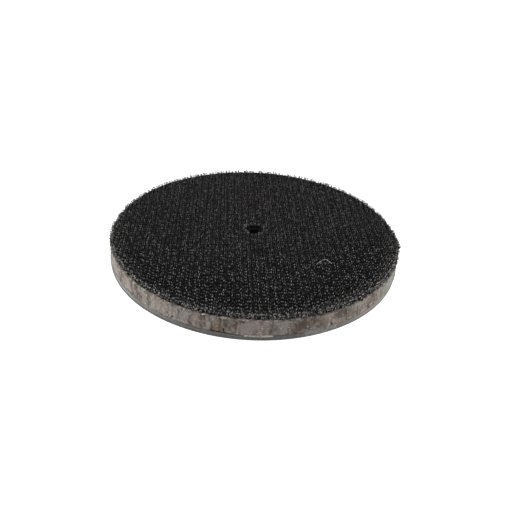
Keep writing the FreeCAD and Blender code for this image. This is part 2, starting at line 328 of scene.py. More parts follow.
def make_plain_weave():
    group, given, result = new_group(
        "plain_weave",
        [("Coordinates", "Vector", None), ("Pitch", "Float", 0.0005)],
        [("Height", "Float", None), ("Over", "Float", None)],
    )
    tree = group
    parts = put(tree, "ShaderNodeSeparateXYZ", Vector=given["Coordinates"])
    turns = [
        math_node(tree, "MULTIPLY", math_node(tree, "DIVIDE", parts.outputs[axis], given["Pitch"]), math.pi)
        for axis in (0, 1)
    ]
    waves = [math_node(tree, "SINE", turn) for turn in turns]
    crossing = math_node(tree, "MULTIPLY", waves[0], waves[1])
    over = span(tree, crossing, -0.15, 0.15)
    rounds = [math_node(tree, "ABSOLUTE", wave) for wave in waves]
    warp = math_node(tree, "MULTIPLY", rounds[0], over)
    weft = math_node(tree, "MULTIPLY", rounds[1], math_node(tree, "SUBTRACT", 1.0, over))
    link_nodes(tree, math_node(tree, "ADD", warp, weft), result["Height"])
    link_nodes(tree, over, result["Over"])
    return group


BLOTCHES = make_blotches()
WORN_EDGES = make_worn_edges()
PLAIN_WEAVE = make_plain_weave()
print("shared effects:", ", ".join(group.name for group in (BLOTCHES, WORN_EDGES, PLAIN_WEAVE)))

# %% [markdown]
# ## Nylon: the hooks and their cloth
# Black nylon is almost black all over; what the eye reads is gloss on thousands of tiny bends. So the colour
# stays near zero and the roughness is moderate. Only the hooks' tops are painted lighter grey in patches:
# partly rubbed wear, partly a painted highlight on the bends. They are painted lighter at the front of the
# pad than at the back, as painted shade. Sanding dust settles where the pad is used and held most, round its
# edge and towards the front, and it greys the hooks there.

# %% Nylon finishes
NYLON_BLACK = (0.006, 0.006, 0.0063, 1)
NYLON_TIP_DARK = (0.008, 0.008, 0.0083, 1)
NYLON_TIP_WEAR_AND_HIGHLIGHT = (0.23, 0.23, 0.234, 1)
DUST = (0.22, 0.21, 0.195, 1)
REDDISH = (0.02, 0.008, 0.01, 1)
CLOTH_WEAVE_PITCH = 0.00041


def edge_dust(tree, where, strength):
    """More dust near the pad's edge and at its front, broken up by blotches."""
    parts = put(tree, "ShaderNodeSeparateXYZ", Vector=where)
    flat = put(tree, "ShaderNodeCombineXYZ", X=parts.outputs[0], Y=parts.outputs[1], Z=0.0)
    out = put(tree, "ShaderNodeVectorMath", "LENGTH", _0=flat.outputs[0]).outputs["Value"]
    rim = span(tree, out, cloth_radius * 0.9, cloth_radius)
    front = span(tree, parts.outputs[1], cloth_radius * 0.4, -cloth_radius * 0.8)
    clumps = place_group(tree, BLOTCHES, Coordinates=where, Per_Metre=700.0, Detail=2.0, Low=0.42, High=0.6)
    spread = math_node(tree, "MULTIPLY", math_node(tree, "MULTIPLY", rim, front), strength)
    return math_node(tree, "MULTIPLY", spread, clumps["Mask"], clamp=True)


def make_hook_nylon():
    finish, tree, skin, where = new_finish("hook_nylon", Specular_IOR_Level=0.17)
    tint = place_group(tree, BLOTCHES, Coordinates=where, Per_Metre=45.0, Detail=2.0, Low=0.58, High=0.72)
    base = mix_colours(tree, tint["Mask"], NYLON_BLACK, REDDISH)
    parts = put(tree, "ShaderNodeSeparateXYZ", Vector=where).outputs
    # Painted shade: the hook tops' lighter grey is painted stronger at the front of the pad and weaker at its
    # back.
    rear_shade = span(tree, parts[1], -cloth_radius, cloth_radius, 1.15, 0.72)
    tips = math_node(tree, "MULTIPLY", rear_shade,
                     span(tree, parts[2], pile_low.z + 0.4 * MM, pile_high.z - 0.3 * MM))
    # Painted highlight and wear: the hooks' upper parts are painted lighter grey in patches, partly rubbed
    # wear and partly a painted highlight on the bends.
    rub = place_group(tree, BLOTCHES, Coordinates=where, Per_Metre=750.0, Detail=2.0, Low=0.43, High=0.63)
    worn = mix_colours(tree, rub["Mask"], NYLON_TIP_DARK, NYLON_TIP_WEAR_AND_HIGHLIGHT)
    base = mix_colours(tree, tips, base, worn)
    grains = place_group(tree, BLOTCHES, Coordinates=where, Per_Metre=2400.0, Detail=1.0, Low=0.62, High=0.7)
    light_dust = math_node(tree, "MULTIPLY", grains["Mask"], 0.3)
    dust_and_painted_light = math_node(tree, "MAXIMUM", light_dust, edge_dust(tree, where, 1.1))
    feed(tree, skin["Base Color"], mix_colours(tree, dust_and_painted_light, base, DUST))
    feed(tree, skin["Roughness"], span(tree, dust_and_painted_light, 0.0, 0.5, 0.36, 0.8))
    return finish


def make_cloth_nylon():
    finish, tree, skin, where = new_finish("cloth_nylon", Specular_IOR_Level=0.03)
    weave = place_group(tree, PLAIN_WEAVE, Coordinates=where, Pitch=CLOTH_WEAVE_PITCH)
    dust_and_painted_light = edge_dust(tree, where, 0.12)
    # Painted shade: the weave's low places are painted darker than its raised threads.
    dark = mix_colours(tree, weave["Height"], (0.001, 0.001, 0.001, 1), (0.005, 0.005, 0.0055, 1))
    feed(tree, skin["Base Color"], mix_colours(tree, dust_and_painted_light, dark, DUST))
    feed(tree, skin["Roughness"], span(tree, weave["Height"], 0.0, 1.0, 0.9, 0.6))
    bump = put(tree, "ShaderNodeBump", Strength=0.8, Distance=0.00012, Height=weave["Height"])
    feed(tree, skin["Normal"], bump.outputs["Normal"])
    return finish


def make_fibre(name, dark, light):
    """Loose yarn and dust: two tones, patchy along the fibre."""
    finish, tree, skin, where = new_finish(name, Roughness=0.6, Specular_IOR_Level=0.2)
    patch = place_group(tree, BLOTCHES, Coordinates=where, Per_Metre=700.0, Detail=2.0, Low=0.4, High=0.62)
    feed(tree, skin["Base Color"], mix_colours(tree, patch["Mask"], dark, light))
    return finish


HOOK_NYLON = make_hook_nylon()
CLOTH_NYLON = make_cloth_nylon()
PALE_FIBRE = make_fibre("pale_fibre", (0.20, 0.19, 0.17, 1), (0.55, 0.53, 0.49, 1))
YARN = make_fibre("dusty_yarn", (0.008, 0.008, 0.009, 1), (0.13, 0.12, 0.11, 1))
TORN_FOAM = make_fibre("torn_foam", (0.04, 0.035, 0.028, 1), (0.27, 0.25, 0.215, 1))

# %% [markdown]
# ## Foam
# The side of the pad is bare urethane foam, cut and rubbed. Its grey-brown varies slowly round the rim and in
# upright streaks, with pale specks and open cells whose insides are painted near-black, as painted shade.
# Along its top edge, under the cloth, the foam is painted darker in patches with pale torn fluff between
# them: painted shade against the light that the rounded edge catches. Larger marks are painted on the mesh as
# attributes, which we make together with the shape further down: `pit` for open cells and cracks, `stain` for
# rusty patches, `pale` for smooth lighter patches and `brown` for dirty ones.

# %% Foam finish
FOAM_DARK = (0.115, 0.088, 0.070, 1)
FOAM_LIGHT = (0.36, 0.325, 0.295, 1)
FOAM_PINK = (0.36, 0.27, 0.24, 1)
FOAM_OLIVE = (0.27, 0.275, 0.235, 1)
FOAM_PALE = (0.29, 0.29, 0.262, 1)
FOAM_BROWN = (0.085, 0.062, 0.047, 1)
FOAM_FLUFF = (0.30, 0.27, 0.23, 1)
FOAM_SPECK = (0.68, 0.66, 0.63, 1)
FOAM_PIT_SHADE = (0.02, 0.017, 0.014, 1)
RUST = (0.17, 0.098, 0.045, 1)


def make_foam_skin():
    finish, tree, skin, where = new_finish("foam_skin", Specular_IOR_Level=0.25)

    def painted(name):
        node = tree.nodes.new("ShaderNodeAttribute")
        node.attribute_name = name
        return node.outputs["Fac"]

    slow = place_group(tree, BLOTCHES, Coordinates=where, Per_Metre=150.0, Height_Share=0.7, Detail=3.0,
                       Low=0.38, High=0.62)
    streaks = place_group(tree, BLOTCHES, Coordinates=where, Per_Metre=520.0, Height_Share=0.22, Detail=3.0,
                          Low=0.38, High=0.62)
    mottle = place_group(tree, BLOTCHES, Coordinates=where, Per_Metre=1100.0, Height_Share=0.8, Detail=4.0,
                         Low=0.35, High=0.65)
    tint = place_group(tree, BLOTCHES, Coordinates=where, Per_Metre=85.0, Detail=2.0, Low=0.42, High=0.58)
    mixed = math_node(tree, "MULTIPLY_ADD", slow["Mask"], 0.3,
                      math_node(tree, "MULTIPLY_ADD", streaks["Mask"], 0.35,
                                math_node(tree, "MULTIPLY", mottle["Mask"], 0.35)))
    mixed = span(tree, mixed, 0.26, 0.74)
    colour = mix_colours(tree, mixed, FOAM_DARK, FOAM_LIGHT)
    hue = mix_colours(tree, tint["Mask"], FOAM_PINK, FOAM_OLIVE)
    colour = mix_colours(tree, 0.4, colour, mix_colours(tree, mixed, colour, hue))
    ragged = math_node(tree, "MULTIPLY_ADD", mottle["Mask"], 0.7, -0.35)

    def patchy(name):
        """A painted patch with a ragged edge."""
        return math_node(tree, "MULTIPLY", painted(name),
                         span(tree, math_node(tree, "ADD", painted(name), ragged), 0.1, 0.5))

    colour = mix_colours(tree, patchy("brown"), colour, FOAM_BROWN)
    colour = mix_colours(tree, patchy("pale"), colour, FOAM_PALE)
    colour = mix_colours(tree, patchy("stain"), colour, RUST)
    height = put(tree, "ShaderNodeSeparateXYZ", Vector=where).outputs[2]
    # Painted shade: along the top edge, under the cloth, the foam is painted darker brown in patches mixed
    # with pale fluff, against the light its rounded edge catches.
    top_edge_shade_and_fluff = span(tree, height, foam_high.z - 0.9 * MM, foam_high.z - 0.1 * MM)
    fluff = place_group(tree, BLOTCHES, Coordinates=where, Per_Metre=800.0, Detail=3.0, Low=0.5, High=0.62)
    torn = mix_colours(tree, fluff["Mask"], FOAM_BROWN, FOAM_FLUFF)
    colour = mix_colours(tree, math_node(tree, "MULTIPLY", top_edge_shade_and_fluff, 0.75), colour, torn)
    specks = place_group(tree, BLOTCHES, Coordinates=where, Per_Metre=1100.0, Detail=1.0, Low=0.66, High=0.73)
    colour = mix_colours(tree, math_node(tree, "MULTIPLY", specks["Mask"], 0.6), colour, FOAM_SPECK)
    # Painted shade: open cells, cracks and the fine cells are painted near-black, for the shade inside them.
    cells = place_group(tree, BLOTCHES, Coordinates=where, Per_Metre=2300.0, Detail=1.0, Low=0.66, High=0.72)
    dark = math_node(tree, "MAXIMUM", painted("pit"), math_node(tree, "MULTIPLY", cells["Mask"], 0.55))
    colour = mix_colours(tree, dark, colour, FOAM_PIT_SHADE)
    feed(tree, skin["Base Color"], colour)
    feed(tree, skin["Roughness"], span(tree, painted("pale"), 0.0, 1.0, 0.85, 0.5))
    relief = math_node(tree, "SUBTRACT", mottle["Mask"], math_node(tree, "MULTIPLY", cells["Mask"], 2.0))
    bump = put(tree, "ShaderNodeBump", Strength=0.6, Distance=0.00015, Height=relief)
    feed(tree, skin["Normal"], bump.outputs["Normal"])
    return finish


FOAM_SKIN = make_foam_skin()

# %% [markdown]
# ## Glue, plate and metal
# The glue dried pale and a little glossy. The plate is a glass-fibre laminate: dark resin over a weave
# that shows faintly, with its layers as fine lines on the sawn edge. The hub is zinc plated, dull in
# patches and rubbed at its edges, and the stud is blackened steel with bright thread crests.

# %% Glue and plate finishes
LAYER_RATE = 15700.0          # radians in a metre of height, which gives layers about 0.2 mm thick
PLATE_WEAVE_PITCH = 0.0009


def make_dried_glue(name, dark, light):
    finish, tree, skin, where = new_finish(name, Specular_IOR_Level=0.5)
    patch = place_group(tree, BLOTCHES, Coordinates=where, Per_Metre=900.0, Detail=3.0, Low=0.35, High=0.65)
    feed(tree, skin["Base Color"], mix_colours(tree, patch["Mask"], dark, light))
    feed(tree, skin["Roughness"], span(tree, patch["Mask"], 0.0, 1.0, 0.5, 0.3))
    bump = put(tree, "ShaderNodeBump", Strength=0.4, Distance=0.0001, Height=patch["Mask"])
    feed(tree, skin["Normal"], bump.outputs["Normal"])
    return finish


def make_plate_laminate():
    finish, tree, skin, where = new_finish("plate_laminate", Specular_IOR_Level=0.4)
    weave = place_group(tree, PLAIN_WEAVE, Coordinates=where, Pitch=PLATE_WEAVE_PITCH)
    haze = place_group(tree, BLOTCHES, Coordinates=where, Per_Metre=160.0, Detail=5.0, Low=0.35, High=0.7)
    height = put(tree, "ShaderNodeSeparateXYZ", Vector=where).outputs[2]
    wave = math_node(tree, "SINE", math_node(tree, "MULTIPLY", height, LAYER_RATE))
    layers = math_node(tree, "ABSOLUTE", wave)
    resin = mix_colours(tree, weave["Over"], (0.085, 0.085, 0.083, 1), (0.115, 0.114, 0.110, 1))
    resin = mix_colours(tree, math_node(tree, "MULTIPLY", haze["Mask"], 0.4), resin, (0.20, 0.195, 0.18, 1))
    edge = place_group(tree, WORN_EDGES, Coordinates=where, Width=0.00035, Wear=0.5)
    resin = mix_colours(tree, edge["Mask"], resin, (0.26, 0.255, 0.24, 1))
    # Painted light: the plate is painted lighter towards its right-hand (+X) side, as if more light falls
    # there.
    sideways = put(tree, "ShaderNodeSeparateXYZ", Vector=where).outputs[0]
    dust_and_painted_light = span(tree, sideways, foam_radius * 0.42, foam_radius * 0.78, 0.0, 0.6)
    resin = mix_colours(tree, dust_and_painted_light, resin, (0.28, 0.265, 0.24, 1))
    feed(tree, skin["Base Color"], resin)
    feed(tree, skin["Roughness"], span(tree, haze["Mask"], 0.0, 1.0, 0.42, 0.62))
    relief = math_node(tree, "MULTIPLY_ADD", weave["Height"], 0.6, math_node(tree, "MULTIPLY", layers, 0.4))
    bump = put(tree, "ShaderNodeBump", Strength=0.2, Distance=0.00006, Height=relief)
    feed(tree, skin["Normal"], bump.outputs["Normal"])
    return finish


# %% Metal finishes
HOLE_SHADE_DARK = (0.004, 0.004, 0.004, 1)
HOLE_SHADE_LIGHT = (0.010, 0.009, 0.008, 1)


def make_metal(name, dark, light, worn, dull, shiny, wear, shade_height=None):
    """Plated or blackened steel: patches of two tones, fine turning marks, and edges rubbed bright.
    Above a shade height, the metal is painted a dull near-black: painted shade, for the dark inside the pad's
    hole."""
    finish, tree, skin, where = new_finish(name, Specular_IOR_Level=0.1)
    patch = place_group(tree, BLOTCHES, Coordinates=where, Per_Metre=260.0, Detail=5.0, Low=0.35, High=0.65)
    edge = place_group(tree, WORN_EDGES, Coordinates=where, Width=0.00025, Wear=wear)
    tone = mix_colours(tree, patch["Mask"], dark, light)
    colour = mix_colours(tree, edge["Mask"], tone, worn)
    rough = math_node(tree, "MULTIPLY_ADD", edge["Mask"], -0.12,
                      span(tree, patch["Mask"], 0.0, 1.0, dull, shiny))
    if shade_height is None:
        skin["Metallic"].default_value = 1.0
    else:
        # Painted shade: above this height the stud is painted dull near-black and loses its metal, for the
        # shade down the pad's centre hole.
        height = put(tree, "ShaderNodeSeparateXYZ", Vector=where).outputs[2]
        hole_shade = span(tree, height, shade_height, shade_height + MM)
        colour = mix_colours(tree, hole_shade, colour, mix_colours(tree, patch["Mask"], HOLE_SHADE_DARK, HOLE_SHADE_LIGHT))
        rough = math_node(tree, "MAXIMUM", rough, math_node(tree, "MULTIPLY", hole_shade, 0.85))
        feed(tree, skin["Metallic"], math_node(tree, "SUBTRACT", 1.0, hole_shade))
    feed(tree, skin["Base Color"], colour)
    feed(tree, skin["Roughness"], rough)
    flat = put(tree, "ShaderNodeVectorMath", "MULTIPLY", _0=where, _1=(1, 1, 0))
    out = put(tree, "ShaderNodeVectorMath", "LENGTH", _0=flat.outputs[0]).outputs["Value"]
    line = put(tree, "ShaderNodeCombineXYZ", X=out)
    rings = put(tree, "ShaderNodeTexNoise", Vector=line.outputs[0], Scale=9000.0, Detail=2.0)
    pits = place_group(tree, BLOTCHES, Coordinates=where, Per_Metre=3000.0, Detail=2.0, Low=0.3, High=0.7)
    relief = math_node(tree, "MULTIPLY_ADD", rings.outputs["Fac"], 0.6,
                       math_node(tree, "MULTIPLY", pits["Mask"], 0.4))
    bump = put(tree, "ShaderNodeBump", Strength=0.25, Distance=0.00004, Height=relief)
    feed(tree, skin["Normal"], bump.outputs["Normal"])
    return finish


DRIED_GLUE = make_dried_glue("dried_glue", (0.26, 0.25, 0.23, 1), (0.60, 0.60, 0.55, 1))
THIN_GLUE = make_dried_glue("thin_glue", (0.13, 0.125, 0.11, 1), (0.29, 0.285, 0.26, 1))
DIRTY_FILM = make_fibre("dirty_film", (0.006, 0.006, 0.005, 1), (0.03, 0.027, 0.022, 1))
PLATE_LAMINATE = make_plate_laminate()
ZINC = make_metal("zinc_plate", (0.40, 0.40, 0.39, 1), (0.62, 0.62, 0.60, 1), (0.8, 0.8, 0.79, 1),
                  0.52, 0.34, 0.5)
RIVET_STEEL = make_metal("rivet_steel", (0.34, 0.34, 0.34, 1), (0.55, 0.55, 0.54, 1), (0.8, 0.8, 0.8, 1),
                         0.45, 0.28, 0.6)
BLACK_STEEL = make_metal("black_steel", (0.030, 0.030, 0.032, 1), (0.07, 0.068, 0.066, 1),
                         (0.5, 0.49, 0.47, 1), 0.42, 0.3, 0.7, shade_height=flange_high.z)
print("finishes:", ", ".join(sorted(m.name for m in bpy.data.materials if m.users)))

# %% [markdown]
# ## Mesh helpers
# Most of this pad is round, so one helper makes a closed skin from rings of points: a table of places
# with one row for each ring and one column for each step round the axis. The rings may close on
# themselves, as on a ring-shaped piece, or end in a point at each pole.

# %% Mesh helpers


def new_piece(name, mesh, finish, smooth_angle=None):
    """Links a mesh as a piece that rides on the pad, with one finish and smooth shading."""
    mesh.materials.clear()
    mesh.materials.append(finish)
    piece = bpy.data.objects.new(name, mesh)
    scene.collection.objects.link(piece)
    mesh.shade_smooth()
    if smooth_angle is not None:
        mesh.set_sharp_from_angle(angle=math.radians(smooth_angle))
    return piece


def mesh_from(shape, name):
    """Turns a finished bmesh into a mesh, and frees it."""
    mesh = bpy.data.meshes.new(name)
    shape.to_mesh(mesh)
    shape.free()
    return mesh


def skin_of_rings(name, rings, closed_loop):
    """A mesh through rings of shape (rows, steps, 3), with its faces turned outwards."""
    rows, steps, _ = rings.shape
    shape = bmesh.new()
    grid = [[shape.verts.new(spot) for spot in ring] for ring in rings]
    last_row = rows if closed_loop else rows - 1
    for row in range(last_row):
        low, high = grid[row], grid[(row + 1) % rows]
        for step in range(steps):
            after = (step + 1) % steps
            shape.faces.new((low[step], low[after], high[after], high[step]))
    if not closed_loop:
        for ring in (grid[0], grid[-1]):
            middle = sum((vert.co for vert in ring), Vector()) / steps
            pole = shape.verts.new(middle)
            for step in range(steps):
                shape.faces.new((ring[step], ring[(step + 1) % steps], pole))
    bmesh.ops.recalc_face_normals(shape, faces=shape.faces)
    return mesh_from(shape, name)


def ring_of(radius, height, angles):
    """Points of one ring; radius and height are numbers or one value for each angle."""
    radius = np.broadcast_to(radius, angles.shape)
    height = np.broadcast_to(height, angles.shape)
    return np.stack([radius * np.cos(angles), radius * np.sin(angles), height], axis=-1)


def wavy(angle, waves):
    """A sum of slow waves round the rim: (size in mm, waves per turn, phase in degrees)."""
    total = 0.0
    for size, count, phase in waves:
        total = total + size * MM * np.cos(count * angle + math.radians(phase))
    return total


def degrees_between(angles, centre):
    """Signed angle from a direction, in degrees, for an array of angles in radians."""
    turned = np.degrees(angles) - centre
    return (turned + 180) % 360 - 180


def bumps(angles, places):
    """Single swellings of the rim: (direction and half width in degrees, size in mm)."""
    return sum(size * MM * np.exp(-(degrees_between(angles, at) / half) ** 2) for at, half, size in places)


# %% [markdown]
# ## The woven cloth
# The cloth is a disc of woven tape, 0.35 mm thick, cut by hand: its edge wanders a little, and one
# corner stands past the foam at the right. We make it as rings with a wavy outline. Its face swells
# very slightly, so that light doesn't slide over it as over glass.

# %% Cloth
CLOTH_STEPS = 720
CLOTH_WAVES = [(0.30, 1, -10), (0.16, 2, 40), (0.10, 3, 200), (0.07, 7, 75), (0.05, 13, 10)]
CLOTH_BUMPS = [(130, 32, 0.45), (194, 12, 0.3), (344, 7, 0.45)]
CORNER_AT = -6.0          # degrees from +X
CORNER_REACH = 0.9 * MM


def cloth_outline(angles):
    """Radius of the cloth's cut edge in each direction."""
    away = degrees_between(angles, CORNER_AT)
    corner = CORNER_REACH * np.where(away > 0, np.exp(-(away / 9.0) ** 2), np.exp(-(away / 3.5) ** 2))
    nicks = np.array([noise.noise(Vector((math.cos(a), math.sin(a), 0)) * 42.0) for a in angles]) * 0.24 * MM
    return cloth_radius - 0.1 * MM + wavy(angles, CLOTH_WAVES) + bumps(angles, CLOTH_BUMPS) + corner + nicks


def make_cloth():
    angles = np.linspace(0, math.tau, CLOTH_STEPS, endpoint=False)
    outline = cloth_outline(angles)
    ring_shares = np.linspace(0, 1, 26)
    sheet_rings = []
    for top in (True, False):
        base = cloth_high.z if top else cloth_low.z
        for share in (ring_shares if top else ring_shares[::-1]):
            radius = hole_radius + (outline - hole_radius) * share
            swell = np.array([
                noise.noise(Vector((r * math.cos(a), r * math.sin(a), 0)) * 130.0)
                for r, a in zip(radius, angles)
            ]) * 0.04 * MM
            sheet_rings.append(ring_of(radius, base + swell, angles))
    mesh = skin_of_rings("hook_cloth_woven", np.array(sheet_rings), closed_loop=True)
    return new_piece("hook_cloth_woven", mesh, CLOTH_NYLON, smooth_angle=40)


cloth = make_cloth()
print(f"cloth: {len(cloth.data.polygons)} faces")

# %% [markdown]
# ## One hook
# Hook tape is woven with stiff loops of nylon line, and each loop is cut on one side near its top.
# What is left is a pair: a tall hook that bends over, and a short straight stub under its open end.
# The pair will be repeated thousands of times, so it has only a few dozen faces: a square tube swept
# along eight points, and a shorter one.

# %% A hook and its stub
HOOK_HEIGHT = pile_high.z - pile_low.z
LINE_RADIUS = 0.16 * MM
PAIR_GAP = 0.81 * MM      # from the hook's leg to the stub
BEND_RADIUS = 0.29 * MM
BEND_TURN = math.radians(72)
STUB_SHARE = 0.75
COLUMN_PITCH = 1.62 * MM
HOOK_PITCH = 1.90 * MM
WANDER_ACROSS = 0.15 * MM
WANDER_ALONG = 0.26 * MM
MISSING_SHARE = 0.003


def sweep_square(shape, points, radius):
    """A square tube along points that lie in an upright plane, capped at both ends."""
    rings = []
    flat_run = max((point - points[0] for point in points), key=lambda step: abs(step.x) + abs(step.y))
    side = Vector((0, 0, 1)).cross(flat_run).normalized()
    for index, point in enumerate(points):
        before = points[max(index - 1, 0)]
        after = points[min(index + 1, len(points) - 1)]
        along = (after - before).normalized()
        other = along.cross(side)
        rings.append([
            shape.verts.new(point + radius * (math.cos(turn) * side + math.sin(turn) * other))
            for turn in (math.pi / 2 * corner for corner in range(4))
        ])
    for low, high in zip(rings, rings[1:]):
        for corner in range(4):
            after = (corner + 1) % 4
            shape.faces.new((low[corner], low[after], high[after], high[corner]))
    shape.faces.new(rings[-1])
    shape.faces.new(rings[0][::-1])


def make_hook_pair():
    shape = bmesh.new()
    leg_x, stub_x = -PAIR_GAP / 2, PAIR_GAP / 2
    bend_height = HOOK_HEIGHT - BEND_RADIUS - LINE_RADIUS
    bend = Vector((math.cos(BEND_TURN), math.sin(BEND_TURN), 0))
    foot = Vector((leg_x, 0, 0))
    path = [foot, foot - 0.03 * MM * bend + Vector((0, 0, bend_height * 0.55))]
    for turn in np.linspace(math.pi, -0.25, 6):
        reach = BEND_RADIUS * (1 + math.cos(turn))
        path.append(foot + reach * bend + Vector((0, 0, bend_height + BEND_RADIUS * math.sin(turn))))
    sweep_square(shape, path, LINE_RADIUS)
    stub = [Vector((stub_x, 0, 0)), Vector((stub_x, 0.05 * MM, HOOK_HEIGHT * STUB_SHARE))]
    sweep_square(shape, stub, LINE_RADIUS)
    bmesh.ops.recalc_face_normals(shape, faces=shape.faces)
    mesh = mesh_from(shape, "hook_pair")
    mesh.shade_smooth()
    return mesh


hook_shape = make_hook_pair()
hook_pair = bpy.data.objects.new("hook_pair", hook_shape)
scene.collection.objects.link(hook_pair)
print(f"a hook pair has {len(hook_pair.data.polygons)} faces")

# %% [markdown]
# ## The rows of hooks
# The pairs stand in columns that are staggered like bricks, and the columns run a few degrees off the
# pad's own axis, because the disc was cut from the tape without care for direction. Geometry Nodes lays
# out a grid, shifts every second column by half a step, turns it, and drops each point onto the cloth
# with a ray: a point that misses the cloth, past its edge or over the hole, is left out. Then a pair
# goes on each point, every second column facing the other way, with a small random lean, twist and
# size. Close to the rim the hooks also lean outwards, because nothing stands beside them there.
# The field is made in two halves, to keep each mesh light.

# %% Geometry Nodes helpers


def new_tree(name, inputs):
    tree = bpy.data.node_groups.new(name, "GeometryNodeTree")
    for title, kind, value in inputs:
        socket = tree.interface.new_socket(title, in_out="INPUT", socket_type=f"NodeSocket{kind}")
        if value is not None:
            socket.default_value = value
    tree.interface.new_socket("Geometry", in_out="OUTPUT", socket_type="NodeSocketGeometry")
    start = tree.nodes.new("NodeGroupInput")
    end = tree.nodes.new("NodeGroupOutput")
    return tree, start.outputs, end.inputs


def random_value(tree, low, high, seed, kind="FLOAT"):
    node = tree.nodes.new("FunctionNodeRandomValue")
    node.data_type = kind
    first, second, out = {"FLOAT": (2, 3, 1), "FLOAT_VECTOR": (0, 1, 0)}[kind]
    feed(tree, node.inputs[first], low)
    feed(tree, node.inputs[second], high)
    feed(tree, node.inputs["Seed"], seed)
    return node.outputs[out]


def grow(name, tree, carrier_mesh, values):
    """Runs a Geometry Nodes tree on a mesh and returns the result as a plain mesh."""
    carrier = bpy.data.objects.new(f"{name}_carrier", carrier_mesh)
    scene.collection.objects.link(carrier)
    modifier = carrier.modifiers.new("grow", "NODES")
    modifier.node_group = tree
    keys = {item.name: item.identifier for item in tree.interface.items_tree if item.in_out == "INPUT"}
    for title, value in values.items():
        modifier[keys[title]] = value
    depsgraph = bpy.context.evaluated_depsgraph_get()
    mesh = bpy.data.meshes.new_from_object(carrier.evaluated_get(depsgraph))
    mesh.name = name
    carrier.modifiers.remove(modifier)
    bpy.data.objects.remove(carrier)
    return mesh


def finish_instances(tree, instances, finish, end):
    realized = put(tree, "GeometryNodeRealizeInstances", Geometry=instances)
    painted = put(tree, "GeometryNodeSetMaterial", Geometry=realized.outputs[0])
    painted.inputs["Material"].default_value = finish
    link_nodes(tree, painted.outputs[0], end["Geometry"])


# %% The tree that plants hooks


